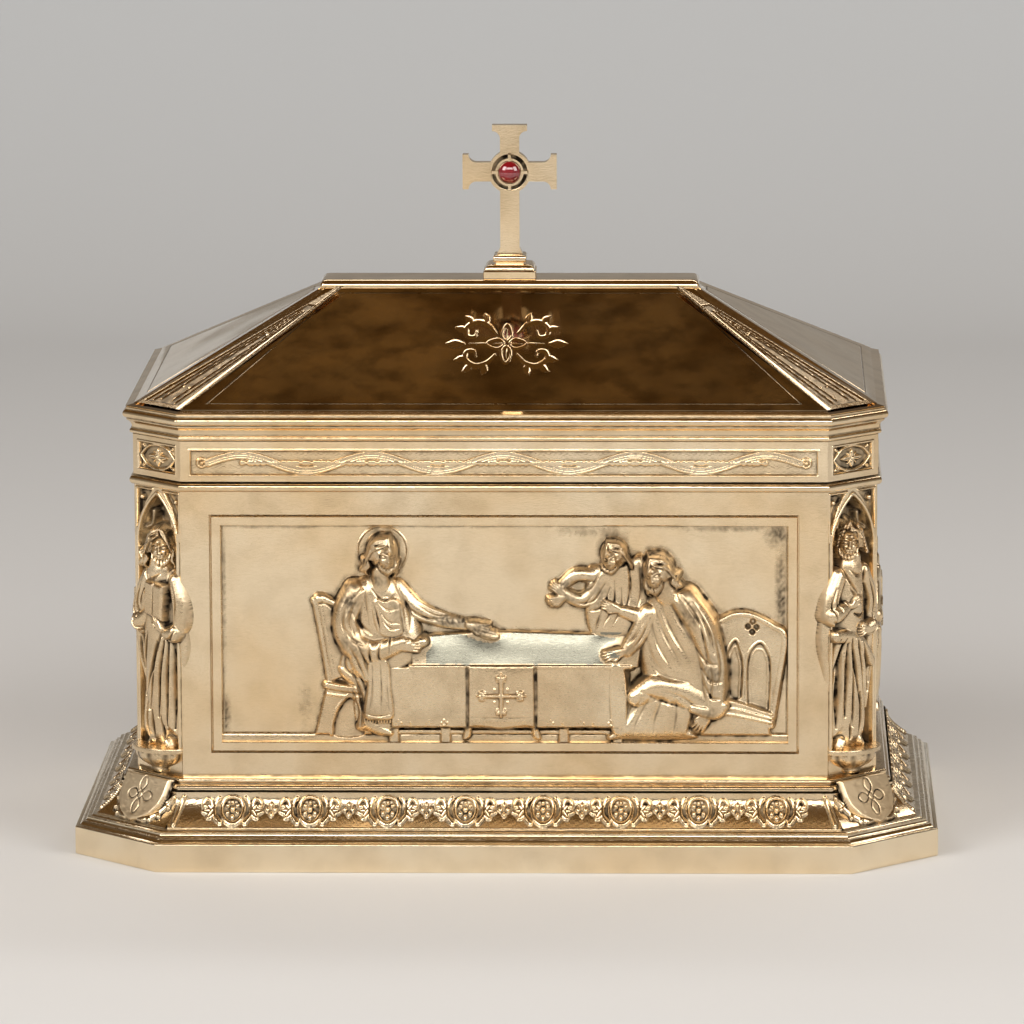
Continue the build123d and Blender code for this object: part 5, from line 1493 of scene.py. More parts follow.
def saint_with_mantle():
    """A short-bearded man who gathers his mantle with one hand, the other low before him."""
    work = Chasing((-12.8, 12.6), (25.7, 80.6), 0.13, ground=-0.6, drop=STEEP_SIDES)
    work.stroke([(-3.8, 27.6), (-4.8, 26.5)], [1.5, 1.2], 2.6, 3.2)
    work.stroke([(4.2, 27.2), (5.2, 26.4)], [1.5, 1.1], 2.4, 2.8)
    for u in (-4.8, 5.2):
        lines(work, [[(u - 0.5, 25.9), (u - 0.4, 27.0)], [(u + 0.2, 25.9), (u + 0.2, 27.0)]], 0.18, 0.4)
    work.pad([(-3.6, 68.6), (-6.2, 67.2), (-7.6, 63), (-8.2, 57), (-8.0, 47), (-7.4, 38), (-7.8, 31),
              (-7.0, 27.6), (-1.4, 27.6),
              (3.4, 27), (8.0, 27.6), (8.6, 33), (9.4, 40), (8.8, 50), (8.4, 58), (7.8, 64), (6.0, 68),
              (2.4, 69.4)],
             4.8, 0.4, edge=6.0, blend=0.3)
    work.stroke([(1.0, 67.4), (0.4, 60), (0.6, 52), (0.6, 42), (0.8, 31)], [4.4, 5.3, 5.6, 5.8, 6.0],
                [3.4, 3.6, 3.4, 3.2, 2.6], 2.8, blend=1.0)
    work.stroke([(-4.8, 66.0), (-7.6, 61.6), (-8.8, 57.6)], [2.5, 2.7, 2.5], [2.4, 2.5, 2.4], 3.4, blend=0.4)
    work.stroke([(-8.6, 57.4), (-5.0, 58.4), (-1.2, 60.0)], [2.4, 2.0, 1.5], [2.4, 2.2, 1.6], 4.6, blend=0.3)
    work.stroke([(6.2, 66.4), (8.8, 61.0), (9.0, 56.4), (7.6, 53.4)], [2.4, 2.6, 2.5, 2.1],
                [2.3, 2.4, 2.4, 2.2], 3.2,
                blend=0.4)
    work.stroke([(8.2, 53.8), (5.4, 53.4), (3.4, 54.2)], [2.2, 1.8, 1.4], [2.2, 2.0, 1.5], 4.7, blend=0.3)
    work.stroke([(-8.8, 57.2), (-9.4, 51.0), (-8.4, 44.0), (-7.6, 38.6)], [1.9, 1.8, 1.4, 0.7],
                [2.2, 2.1, 1.7, 1.0], 2.4,
                blend=0.3)
    work.stroke([(8.6, 55.6), (9.6, 48.0), (9.2, 40.6), (8.8, 34.6)], [1.9, 1.8, 1.5, 0.8],
                [2.1, 2.0, 1.6, 1.0], 2.2,
                blend=0.3)
    work.stroke([(-7.0, 52.6), (-2.0, 52.2), (3.6, 50.0), (8.2, 45.6)], [1.5, 1.8, 1.8, 1.4],
                [1.2, 1.4, 1.4, 1.1], 5.0,
                blend=0.5)
    lines(work, [[(-3.4, 51.8), (-5.0, 46.6), (-7.0, 40.6)], [(-1.2, 51.6), (0.4, 44.6), (2.8, 36.4)],
                 [(1.4, 51.0), (3.6, 43.8), (5.6, 36.0)], [(3.8, 50.0), (6.6, 44.0), (8.8, 38.4)],
                 [(-2.4, 50.6), (-2.8, 43.0), (-3.0, 33.6)], [(-0.8, 48.6), (-0.4, 40.6), (0.2, 31.0)],
                 [(-4.8, 47.0), (-5.2, 39.6), (-5.4, 31.0)], [(2.8, 38.6), (3.4, 33.6), (3.2, 28.6)],
                 [(5.8, 37.6), (6.0, 32.8), (5.8, 28.4)], [(-0.6, 33.4), (-0.6, 30.6), (-0.4, 28.2)],
                 [(-5.8, 51.8), (-7.0, 47.6), (-7.6, 43.4)]], 0.46, 1.35, stain=0.2)
    lines(work, [[(-2.0, 51.0), (-1.6, 43.0), (-1.4, 32.0)], [(0.2, 51.4), (2.0, 44.2), (4.2, 35.6)],
                 [(2.6, 50.6), (5.2, 43.8), (7.4, 37.0)], [(-4.0, 48.6), (-4.2, 40.4), (-4.2, 31.4)],
                 [(4.4, 37.6), (4.8, 32.8), (4.6, 28.4)]], 0.5, -0.55)
    lines(work, [[(-7.4, 63.8), (-9.2, 59.8), (-8.2, 56.6)], [(-5.6, 64.2), (-7.2, 60.8), (-6.2, 58.8)],
                 [(-4.0, 63.8), (-5.0, 61.2), (-4.0, 60.0)], [(-9.4, 56.4), (-7.2, 55.6), (-4.0, 56.2)],
                 [(-9.2, 52.6), (-8.6, 47.8), (-7.8, 42.6)], [(7.2, 64.8), (9.0, 60.2), (8.4, 56.2)],
                 [(5.4, 63.8), (7.0, 60.0), (6.8, 56.8)], [(9.2, 53.6), (7.0, 52.0), (4.4, 52.0)],
                 [(9.8, 50.4), (9.8, 45.4), (9.0, 40.4)], [(-3.0, 67.2), (-1.2, 64.4), (0.6, 62.4)],
                 [(5.4, 67.4), (4.4, 64.2), (3.0, 61.8)], [(-1.6, 63.4), (0.6, 61.0), (3.8, 60.4)],
                 [(-0.6, 57.6), (2.2, 56.8), (4.8, 57.6)]], 0.36, 0.9)
    hand(work, (-2.0, 59.6), (0.2, 60.4), 6.3, 0.9, thumb=1)
    hand(work, (4.4, 54.0), (2.8, 53.6), 6.5, 0.9, thumb=-1)
    work.stroke([(1.4, 70.4), (1.2, 68.0)], [2.0, 2.6], 2.0, 4.2, blend=0.4)
    lines(work, [[(-1.6, 67.8), (1.0, 66.4), (3.6, 67.8)]], 0.3, 0.6)
    return work


def saint_head(turn, beard, hair):
    """A head worked on its own block, so that it can be set turned on its neck."""
    work = Chasing((-6.4, 6.4), (-7.4, 6.4), 0.12, ground=-4.6, drop=STEEP_SIDES)
    head(work, 0.0, 0.0, 10.0, turn, beard=beard, hair=hair, crown=1.05)
    return work


def on_neck(side, u, v, turn):
    """Places a head's points round a spot on a canted corner, turned to one side."""
    along, outward = side_frame(side)[1:]
    spot = on_side(side, u, v, FIGURE_FLOOR - NECK_OUT)
    across = math.cos(turn) * along - math.sin(turn) * outward
    out = math.cos(turn) * outward + math.sin(turn) * along

    def place(x, y, z):
        return spot + x[..., None] * across + y[..., None] * np.array((0, 0, 1)) + z[..., None] * out
    return place


SLIM, NECK_TURN = 0.76, math.radians(36)
saints = {"book": saint_with_book(), "mantle": saint_with_mantle()}
heads = {"book": saint_head(0.25, 0.8, "long"), "mantle": saint_head(-0.25, 0.45, "curly")}
necks = {"book": (-1.4, 72.6, 1), "mantle": (1.4, 74.0, -1)}
for side, kind, shift in ((7, "book", 1.5), (1, "mantle", -1.5), (3, "book", 1.5), (5, "mantle", -1.5)):
    work = saints[kind]
    place = standing_out(side, FIGURE_FLOOR)
    dark = work.shade(fine=0.3, broad=1.2, fine_gain=6.0, broad_gain=2.0, steep=0.3)
    saint = sheet_piece(f"saint_{SIDE_NAMES[side]}", work, lambda u, v, h: place(SLIM * u + shift, v, h),
                        cast,
                        0.92 * dark, floor=-0.5)
    u, v, way = necks[kind]
    face = heads[kind]
    crown = sheet_piece(f"saint_head_{SIDE_NAMES[side]}", face,
                        on_neck(side, SLIM * u + shift, v, way * NECK_TURN), cast,
                        0.8 * face.shade(fine=0.24, broad=0.8, fine_gain=5.0, broad_gain=1.0), floor=-4.5)
    crown.parent = saint
    stands_for(saint, "casket", "chased_gilt", f"corner_figure_{SIDE_NAMES[side]}")

# ---- Rim of the casket ----
# A half-round bead of drawn silver that runs round the top of the walls, just below the lid,
# mitred at the eight corners and soldered on.
RIM_INNER = 17.9
rim_low, rim_high = level("rim_bead", 0), level("rim_bead", 1)
rim = moulding("rim_half_round", rounded(
    (14.1, rim_low), (13.75, rim_low + 0.1), ((13.2, (rim_low + rim_high) / 2), (13.75, rim_high - 0.1)),
    (14.1, rim_high), (RIM_INNER, rim_high), (RIM_INNER, rim_low)), polished,
               dark=((rim_low, 0.25, 0.7), (rim_high, 0.15, 0.6)),
    edge=0.06)
stands_for(rim, "casket", "polished_gilt", "rim_bead")

# ---- Frieze of the lid ----
# Four chased bands: a broad stem with three incised lines rolls in waves, with leaves and
# berries in its hollows, on a matted ground inside a plain border. Each ends at a small ring.
FRIEZE_INSET, FRIEZE_BACK = 14.1, -1.9
FRIEZE_FOOT_BORDER, FRIEZE_TOP_BORDER, BLOCK_TOP_BORDER = 1.7, 2.3, 1.6
BAND_GROUND, BAND_STEM, BLOCK_GROUND = -0.55, -0.5, -0.8
LINE_OUTSIDE = 0.35
frieze_low, frieze_high = level("frieze_front", 0), level("frieze_front", 1)


def matted(work, floor, amount):
    """Fine punch marks over the ground of a sunk panel."""
    grain = ripple(work.U, work.V, 11.3, (2.7, 9.1), (10.7, 2.9, 8.3))
    ground = np.clip(1 - np.abs(work.h - floor) / 0.05, 0, 1)
    work.h += amount * grain * ground
    return ground


def vine_band(side):
    """One length of the vine, as many waves long as the side has room for."""
    half = side_length(side, FRIEZE_INSET) / 2
    low, high = frieze_low + FRIEZE_FOOT_BORDER, frieze_high - FRIEZE_TOP_BORDER
    middle, swing = (low + high) / 2, (high - low) / 2 - 0.55
    work = Chasing((-half, half), (frieze_low, frieze_high), 0.155, drop=STEEP_SIDES)
    cut(work, [(-half + 2.3, low - 0.1), (half - 2.3, low - 0.1), (half - 2.3, high + 0.1),
               (-half + 2.3, high + 0.1)],
        BAND_GROUND, smooth=False)
    for v in (low - LINE_OUTSIDE, high + LINE_OUTSIDE):
        work.stroke([(-half + 2.2, v), (half - 2.2, v)], 0.2, 0.16, 0.0, per_span=1, blend=0.05)
    for way in (-1, 1):
        end = way * (half - 2.0)
        work.stroke([(end, low - LINE_OUTSIDE), (end, high + LINE_OUTSIDE)], 0.2, 0.16, 0, per_span=1)
        work.stroke(circle(way * (half - 4.9), middle, 1.0), 0.3, 0.45, BAND_STEM, closed=True, blend=0.05)
        work.dome((way * (half - 4.9), middle), 0.42, 0.42, 0.5, BAND_STEM)
    reach = half - 6.4
    waves = max(1, round(2 * reach / 35.5)) + 0.5
    pitch = 2 * reach / waves
    steps = int(waves * 16)
    along = [-reach + 2 * reach * k / steps for k in range(steps + 1)]
    path = [(u, middle + 0.86 * swing * math.cos(2 * math.pi * u / pitch)) for u in along]
    work.stroke(path, 0.98, 0.42, BAND_STEM, per_span=2, blend=0.05, flat=6)
    for rise in (-0.42, 0.08, 0.5):
        work.press([(u, v + rise) for u, v in path], 0.14, 0.16, per_span=2, stain=0.16)
    for k in range(int(2 * waves) + 1):
        u = -pitch * waves / 2 + pitch * (0.5 * k)
        if abs(u) > reach - 1.5:
            continue
        crest = math.cos(2 * math.pi * u / pitch)
        hollow = middle - 0.30 * swing * crest
        for way in (-1, 1):
            stem = [(u + way * 6.6, middle - 0.1 * crest), (u + way * 4.6, hollow - 0.9 * crest),
                    (u + way * 2.4, hollow - 1.2 * crest), (u + way * 0.9, hollow - 0.4 * crest),
                    (u + way * 1.7, hollow + 0.5 * crest)]
            work.stroke(stem, [0.34, 0.42, 0.42, 0.36, 0.3], 0.42, BAND_STEM, blend=0.04, flat=4)
            for at, lean in ((6.4, 0.9), (4.7, 1.0), (4.0, -0.9), (2.9, -0.8), (1.6, 1.0)):
                base = (u + way * at, hollow - 0.9 * crest)
                tip = (base[0] + way * 0.9, base[1] + 1.5 * crest * lean)
                work.stroke([base, (0.5 * (base[0] + tip[0]) + way * 0.35, 0.5 * (base[1] + tip[1])), tip],
                            [0.3, 0.68, 0.15], 0.42, BAND_STEM, blend=0.04, flat=4)
        for du, dv in ((0, 0), (0.62, 0.35), (-0.62, 0.35), (0, 0.72)):
            work.dome((u + du, hollow - crest * dv + 0.2 * crest), 0.3, 0.3, 0.5, BAND_STEM, blend=0.03)
    ground = matted(work, BAND_GROUND, 0.03)
    dark = np.clip(work.shade(fine=0.24, broad=0.6, fine_gain=5.5, broad_gain=1.2) + 0.1 * ground, 0, 0.6)
    return work, dark


for side in MAIN_SIDES:
    work, dark = vine_band(side)
    band = sheet_piece(f"vine_frieze_{SIDE_NAMES[side]}", work, standing_out(side, FRIEZE_INSET), chased,
                       dark, back=FRIEZE_BACK)
    stands_for(band, "lid", "chased_gilt", f"frieze_{SIDE_NAMES[side]}")

# ---- Frieze blocks of the corners ----
# On each canted corner the frieze is a sunk block with a four-petalled star in a pointed oval,
# cast and soldered between the two bands.


def star_block():
    """The block's face: a dark sunk panel, the oval, the star and four corner darts."""
    half = side_length(1, FRIEZE_INSET) / 2
    low, high = frieze_low + FRIEZE_FOOT_BORDER, frieze_high - BLOCK_TOP_BORDER
    middle = (low + high) / 2
    work = Chasing((-half, half), (frieze_low, frieze_high), 0.12, drop=STEEP_SIDES)
    cut(work, [(-6.3, low), (6.3, low), (6.3, high), (-6.3, high)], BLOCK_GROUND, smooth=False)
    frame_line = [(-6.7, low - 0.35), (6.7, low - 0.35), (6.7, high + 0.35), (-6.7, high + 0.35),
                  (-6.7, low - 0.35)]
    work.stroke(frame_line, 0.18, 0.14, 0, per_span=1, blend=0.05)
    lift = (high - low) / 2
    for way in (-1, 1):
        work.stroke([(-6.0, middle), (-3.4, middle + way * 0.72 * lift), (0, middle + way * 0.95 * lift),
                     (3.4, middle + way * 0.72 * lift), (6.0, middle)], 0.34, 0.65, -0.75, blend=0.05)
        for u in (-5.3, 5.3):
            work.stroke([(u, middle + way * 2.4), (u * 0.8, middle + way * 1.9)], [0.42, 0.15], 0.5,
                        -0.75, blend=0.04)
    for dx, dy, size in ((1, 0, 3.3), (-1, 0, 3.3), (0, 1, 2.0), (0, -1, 2.0)):
        petal = (0.55 * size * dx, middle + 0.55 * size * dy)
        tip = (size * dx, middle + size * dy)
        work.stroke([(0.2 * dx, middle + 0.2 * dy), petal, tip], [0.25, 0.62, 0.12], 0.7, -0.75, blend=0.04)
        work.press([(0.3 * dx, middle + 0.3 * dy), petal, tip], 0.13, 0.22)
    for dx in (-1, 1):
        for dy in (-1, 1):
            work.stroke([(0.3 * dx, middle + 0.3 * dy), (1.5 * dx, middle + 1.2 * dy)], [0.3, 0.1], 0.55,
                        -0.75, blend=0.04)
    work.dome((0, middle), 0.5, 0.5, 0.95, -0.75, blend=0.03)
    # Painted shade: the sunk ground of the panel is darkened well beyond its patina.
    ground = np.clip(1 - np.abs(work.h - BLOCK_GROUND) / 0.06, 0, 1)
    return work, np.clip(work.shade(fine=0.22, broad=0.6, fine_gain=6, broad_gain=1.2) + 0.55 * ground,
                         0, 0.9)


block_work, block_dark = star_block()
for side in CORNER_SIDES:
    block = sheet_piece(f"star_block_{SIDE_NAMES[side]}", block_work, standing_out(side, FRIEZE_INSET),
                        chased, block_dark,
                        back=FRIEZE_BACK)
    stands_for(block, "lid", "chased_gilt", f"frieze_corner_{SIDE_NAMES[side]}")

# ---- Cornice of the lid ----
# A cast moulding: a thin bead, a hollow, a bold bead, another hollow and a fillet, mitred at
# eight corners and burnished on its high edges.
cornice_low, cornice_high = level("lid_cornice", 0), level("lid_cornice", 1)
cornice = moulding("lid_cornice_moulding", rounded(
    (14.2, cornice_low), (13.9, cornice_low + 0.25),
    ((13.35, cornice_low + 0.75), (13.9, cornice_low + 1.3)),
    (13.95, cornice_low + 1.55), ((13.7, cornice_low + 2.5), (13.0, cornice_low + 3.2)),
    (12.7, cornice_low + 3.35),
    (12.7, cornice_low + 3.75), (12.35, cornice_low + 3.95),
    ((11.8, cornice_low + 4.8), (12.3, cornice_low + 5.65)),
    (12.6, cornice_low + 5.8), (12.6, cornice_high - 0.35), (12.8, cornice_high), (RIM_INNER, cornice_high),
    (RIM_INNER, cornice_low)), polished,
    dark=((cornice_low, 0.2, 0.8), (cornice_low + 1.5, 0.18, 0.6), (cornice_low + 3.75, 0.22, 0.75),
          (cornice_low + 5.8, 0.16, 0.6), (cornice_low + 2.4, 0.6, 0.12)), edge=0.06)
stands_for(cornice, "lid", "polished_gilt", "lid_cornice")

# ---- Roof of the lid ----
# Sheet silver, bent and soldered into a low hipped roof and burnished by hand, so its broad
# slopes are faintly uneven. A line is scribed round each slope, a little in from its edges.
SLOPE_INSET = 14.5
ridge_low = level("ridge_plate", 0)
slope_low = level("roof_shell", 0) + 0.5
TOP_HALF_LENGTH, TOP_HALF_DEPTH, TOP_CLIP = 43.3, 6.0, 0.8
SKIN = 0.16
SCRIBED = (2.6, 3.0, 3.4)
ROOF_GILT, ROOF_GILT_WARM = (0.88, 0.70, 0.47), (0.80, 0.58, 0.33)
burnished = silver_gilt("burnished_gilt", rough=0.065, colour=ROOF_GILT, warm=ROOF_GILT_WARM, stain=0.25,
                        wave=0.022, scratch=0.004)
# Painted reflection: the front and back slopes take a darker, blotched copy of the roof gilt that stands for
# the dark, dappled room they reflect.
painted_reflection = silver_gilt("painted_reflection_gilt", rough=0.065, colour=(0.86, 0.67, 0.43), warm=(0.36, 0.235, 0.11),
                      stain=0.45,
                      wave=0.022, scratch=0.004)


def roof_corner(k, top):
    """One corner of the roof's foot or of its top, in plan order."""
    if not top:
        return np.array((*plan(SLOPE_INSET)[k % 8], slope_low))
    return np.array((*octagon(TOP_HALF_LENGTH, TOP_HALF_DEPTH, TOP_CLIP)[k % 8], ridge_low))


def slope_frame(side):
    """A slope's own axes: the middle of its foot, along it, up it and out of it; and its sizes."""
    a, b = roof_corner(side, False), roof_corner(side + 1, False)
    c, d = roof_corner(side + 1, True), roof_corner(side, True)
    along = (b - a) / np.linalg.norm(b - a)
    rise = (c + d) / 2 - (a + b) / 2
    rise -= along * (rise @ along)
    length = np.linalg.norm(rise)
    return (a + b) / 2, along, rise / length, np.cross(along, rise / length), np.linalg.norm(b - a) / 2, \
        np.linalg.norm(c - d) / 2, length


def on_slope(side):
    """Places (u, v, h) on one slope of the roof."""
    middle, along, up, out = slope_frame(side)[:4]

    def place(u, v, h):
        u, v, h = np.broadcast_arrays(np.asarray(u, float), np.asarray(v, float), np.asarray(h, float))
        return middle + u[..., None] * along + v[..., None] * up + h[..., None] * out
    return place


def inner_slope(foot, top, length, low, high, hip):
    """The slope's four corners moved in: low at the eaves, high at the ridge, hip at its ends."""
    lean = (foot - top) / length
    shift = hip * math.sqrt(1 + lean * lean)
    a, b = foot - lean * low - shift, foot - lean * (length - high) - shift
    return [(-a, low), (a, low), (b, length - high), (-b, length - high)]


def roof_slope(side):
    """A slope's skin, with its scribed line cut in and its field gently uneven."""
    foot, top, length = slope_frame(side)[4:]
    loops, heights, shades = [], [], []
    for extra, h, shade in ((None, 0.0, 0.3), (0.0, SKIN, 0.05), (1.0, SKIN, 0.1), (1.12, 0.05, 1.0),
                            (1.24, SKIN, 0.1)):
        if extra is None:
            loops.append(inner_slope(foot, top, length, 0, 0, 0))
        elif extra == 0.0:
            loops.append(inner_slope(foot, top, length, 0.1, 0.05, 0.05))
        else:
            eaves, ridge_line, hip = [place + 2 * extra - 2 for place in SCRIBED]
            loops.append(inner_slope(foot, top, length, eaves, ridge_line, hip))
        heights.append(h)
        shades.append(shade)
    points = [(u, v, h) for loop, h in zip(loops, heights) for u, v in loop]
    shade = [s for s in shades for _ in range(4)]
    faces = ring_faces(len(loops), 4)
    columns, rows = 90, 30
    corner = np.array(loops[-1])
    first = len(points)
    for j in range(rows + 1):
        for i in range(columns + 1):
            s, t = i / columns, j / rows
            u, v = (corner[0] * (1 - s) + corner[1] * s) * (1 - t) + (corner[3] * (1 - s)
                                                                      + corner[2] * s) * t
            fade = 16 * s * (1 - s) * t * (1 - t)
            swell = 0.035 * min(1,
                                4 * fade) * math.sin(0.16 * u
                                                     + 1.7 * math.sin(0.11 * v)) * math.cos(0.19 * v)
            points.append((u, v, SKIN + swell))
            shade.append(0.04)
    cell = np.arange((rows + 1) * (columns + 1)).reshape(rows + 1, columns + 1) + first
    faces += grid_faces(cell).tolist()
    spots = np.array(points)
    # The front and back slopes carry the painted reflection of the room.
    return build(f"roof_slope_{SIDE_NAMES[side]}", on_slope(side)(*spots.T), faces,
                 painted_reflection if side in (0, 4) else burnished, shade, sharp_angle=25)


for side in MAIN_SIDES:
    slope = roof_slope(side)
    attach(slope, "lid")
finish_cad("roof_shell", burnished)

# ---- Engraved device on the front slope ----
# A bright-cut knot of leaves round a four-petalled flower, graved into the burnished slope
# after gilding, so that its edges stay bright and its cuts dark.
KNOT_HEIGHT, KNOT_STRETCH = 28.0, 1.8


def leaf_knot():
    """A symmetrical knot of stems and leaves, thirty millimetres wide."""
    work = Chasing((-16, 16), (KNOT_HEIGHT - 9, KNOT_HEIGHT + 9), 0.12, ground=-0.05, drop=STEEP_SIDES)
    middle = KNOT_HEIGHT
    for a in np.arange(4) * math.pi / 2:
        c, s = math.cos(a), math.sin(a)
        petal = [(0.6, 0), (1.9, 1.1), (3.7, 0.75), (4.6, 0), (3.7, -0.75), (1.9, -1.1)]
        turned = [(x * c - y * s, middle + x * s + y * c) for x, y in petal]
        work.stroke(turned, 0.32, 0.2, closed=True, blend=0.02)
        work.stroke([(1.2 * c, middle + 1.2 * s), (3.4 * c, middle + 3.4 * s)], [0.22, 0.1], 0.15,
                    blend=0.02)
    work.stroke(circle(0, middle, 1.0), 0.2, 0.17, closed=True, blend=0.02)
    for way in (-1, 1):
        for rise in (-1, 1):
            stem = [(way * 2.6, middle + rise * 2.6), (way * 4.6, middle + rise * 4.6),
                    (way * 7.2, middle + rise * 5.2),
                    (way * 9.4, middle + rise * 3.8), (way * 9.2, middle + rise * 1.9),
                    (way * 7.5, middle + rise * 1.7),
                    (way * 7.0, middle + rise * 3.0)]
            work.stroke(stem, [0.34, 0.6, 0.74, 0.7, 0.58, 0.45, 0.28], 0.2, blend=0.02)
            for at, tip in (((5.0, 4.8), (5.4, 7.2)), ((8.2, 4.9), (10.0, 6.6)), ((9.6, 3.2), (12.0, 3.9))):
                base = (way * at[0], middle + rise * at[1])
                end = (way * tip[0], middle + rise * tip[1])
                bend = (0.5 * (base[0] + end[0]) - way * 0.3, 0.5 * (base[1] + end[1]))
                work.stroke([base, bend, end], [0.34, 0.85, 0.14], 0.2, blend=0.02)
        work.stroke([(way * 10.0, middle), (way * 12.0, middle), (way * 14.2, middle)], [0.4, 1.1, 0.15],
                    0.2, blend=0.02)
        work.stroke([(way * 5.2, middle), (way * 8.6, middle)], [0.35, 0.15], 0.16, blend=0.02)
    return work


knot_work = leaf_knot()
knot_dark = np.clip(np.exp(-((knot_work.h - 0.035) / 0.035) ** 2), 0, 1)
knot = sheet_piece("leaf_knot", knot_work,
                   lambda u, v,
                   h: on_slope(0)(u, KNOT_HEIGHT + KNOT_STRETCH * (v - KNOT_HEIGHT), h + SKIN + 0.03),
                   burnished, knot_dark, floor=0.0)
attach(knot, "lid")

# ---- Tracery of the roof's corner facets ----
# On each narrow facet a long lancet with two small beads stands on a dark sunk ground, inside
# a plain flat border that follows the hips. The plates are cast and soldered on.


def taper(v):
    """Half the width of a narrow facet at a height up it."""
    foot, top, length = slope_frame(1)[4:]
    return foot + (top - foot) * v / length


def facet_tracery():
    """The plate over one narrow facet, tapering from the eaves to the ridge."""
    foot, _, length = slope_frame(1)[4:]
    work = Chasing((-foot, foot), (0, length), 0.15, drop=STEEP_SIDES)

    def at(share, v):
        return share * taper(v), v
    share = np.abs(work.U) / taper(work.V)
    border = np.maximum((share - 0.66) / 0.07, np.maximum(1.9 - work.V, work.V - 0.84 * length) / 0.35)
    work.h = 0.36 * np.clip(border, 0, 1) * (1 - 0.45 * np.clip((share - 0.80) / 0.2, 0, 1) ** 2)
    apex = length * 0.80
    for part, foot_v, peak in ((0.48, 2.4, apex), (0.24, 3.2, apex - 5.0)):
        side_points = [at(part, foot_v), at(part, 0.40 * length), at(part * 0.94, 0.58 * length)]
        arch = side_points + [(0.35 * at(part, 0.70 * length)[0], peak - 2.2), (0.0, peak)]
        mirror = [(-u, v) for u, v in reversed(arch[:-1])]
        work.stroke(arch + mirror, 0.26 if part > 0.4 else 0.18, 0.34, 0.02, per_span=3)
    for v, size in ((0.60 * length, 0.6), (0.665 * length, 0.5)):
        work.dome((0, v), size, size, 0.5, 0.02)
    for way in (-1, 1):
        work.dome((way * 0.9, 0.16 * length), 0.42, 0.42, 0.4, 0.02)
    edge = np.abs(work.U) - taper(work.V)
    ground = np.clip(1 - work.h / 0.12, 0, 1)
    work.h = np.where(edge > 0.3, -2.0, np.maximum(work.h, 0.03))
    # Painted shade: the ground inside the border is darkened, and the border a little.
    inner = np.clip((0.70 - share) / 0.04, 0, 1) * (work.V > 1.4)
    dark = np.clip(work.shade(fine=0.25, broad=0.7, fine_gain=4, broad_gain=0.8) + 0.62 * ground * inner,
                   0, 0.85)
    dark = np.maximum(dark, 0.22 * np.clip(border, 0, 1))
    return work, dark


facet_work, facet_dark = facet_tracery()
facet_gilt = silver_gilt("facet_gilt", rough=0.13, colour=ROOF_GILT, warm=ROOF_GILT_WARM, scratch=0.01,
                         wave=0.05)
for side in CORNER_SIDES:
    place = on_slope(side)
    tracery = sheet_piece(f"lancet_tracery_{SIDE_NAMES[side]}", facet_work,
                          lambda u, v, h: place(np.clip(u, -taper(v), taper(v)), v, np.maximum(h, -0.2)),
                          facet_gilt, facet_dark, floor=-1.0)
    stands_for(tracery, "lid", "chased_gilt", f"corner_tracery_{SIDE_NAMES[side]}")

# ---- Cross, its pedestal and the garnet ----
# A square stepped pedestal on the ridge carries a flat cast cross with flared ends. A round garnet sits in a
# collet with four claws, sunk in a ring where the arms meet, painted dark all over as the shadow in that
# sinking.
pedestal_low, pedestal_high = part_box("cross_pedestal")
CORNER_POINTS = 5


def stepped_block(name, steps, material, corner=0.35):
    """A rounded square block swept up through (half width, half depth, level) steps."""
    rings = []
    for half_x, half_y, z in steps:
        ring = []
        for quarter, (sx, sy) in enumerate(((1, -1), (1, 1), (-1, 1), (-1, -1))):
            for k in range(CORNER_POINTS):
                turn = math.radians(-90 + 90 * quarter + 90 * k / (CORNER_POINTS - 1))
                ring.append((sx * (half_x - corner) + corner * math.cos(turn),
                             sy * (half_y - corner) + corner * math.sin(turn), z))
        rings.append(ring)
    count = len(rings[0])
    faces = ring_faces(len(rings), count)
    faces += [tuple(reversed(range(count))), tuple((len(rings) - 1) * count + k for k in range(count))]
    points = np.array(rings).reshape(-1, 3)
    levels = points[:, 2]
    groove = [z for (a, _, z), (b, _, _), (c, _, _) in zip(steps[1:], steps, steps[2:]) if a < b and a < c]
    dark = sum((0.75 * np.exp(-((levels - z) / 0.18) ** 2) for z in groove), np.zeros(len(levels)))
    return build(name, points, faces, material, np.clip(dark, 0, 1), sharp_angle=40)


ridge_high = level("ridge_plate", 1)
ridge_x, ridge_y = TOP_HALF_LENGTH + 0.3, TOP_HALF_DEPTH + 0.3
roll = [(ridge_x - 0.6, ridge_y - 0.6, ridge_low - 1.6)]
for k in range(11):
    turn = math.radians(-62 + 152 * k / 10)
    roll.append((ridge_x - 0.6 + 1.5 * math.cos(turn), ridge_y - 0.6 + 1.5 * math.cos(turn),
                 ridge_high - 1.5 + 1.5 * math.sin(turn)))
roll.append((ridge_x - 1.6, ridge_y - 1.6, ridge_high))
ridge = stepped_block("ridge_roll", roll, burnished, corner=0.9)
stands_for(ridge, "lid", "burnished_gilt", "ridge_plate")

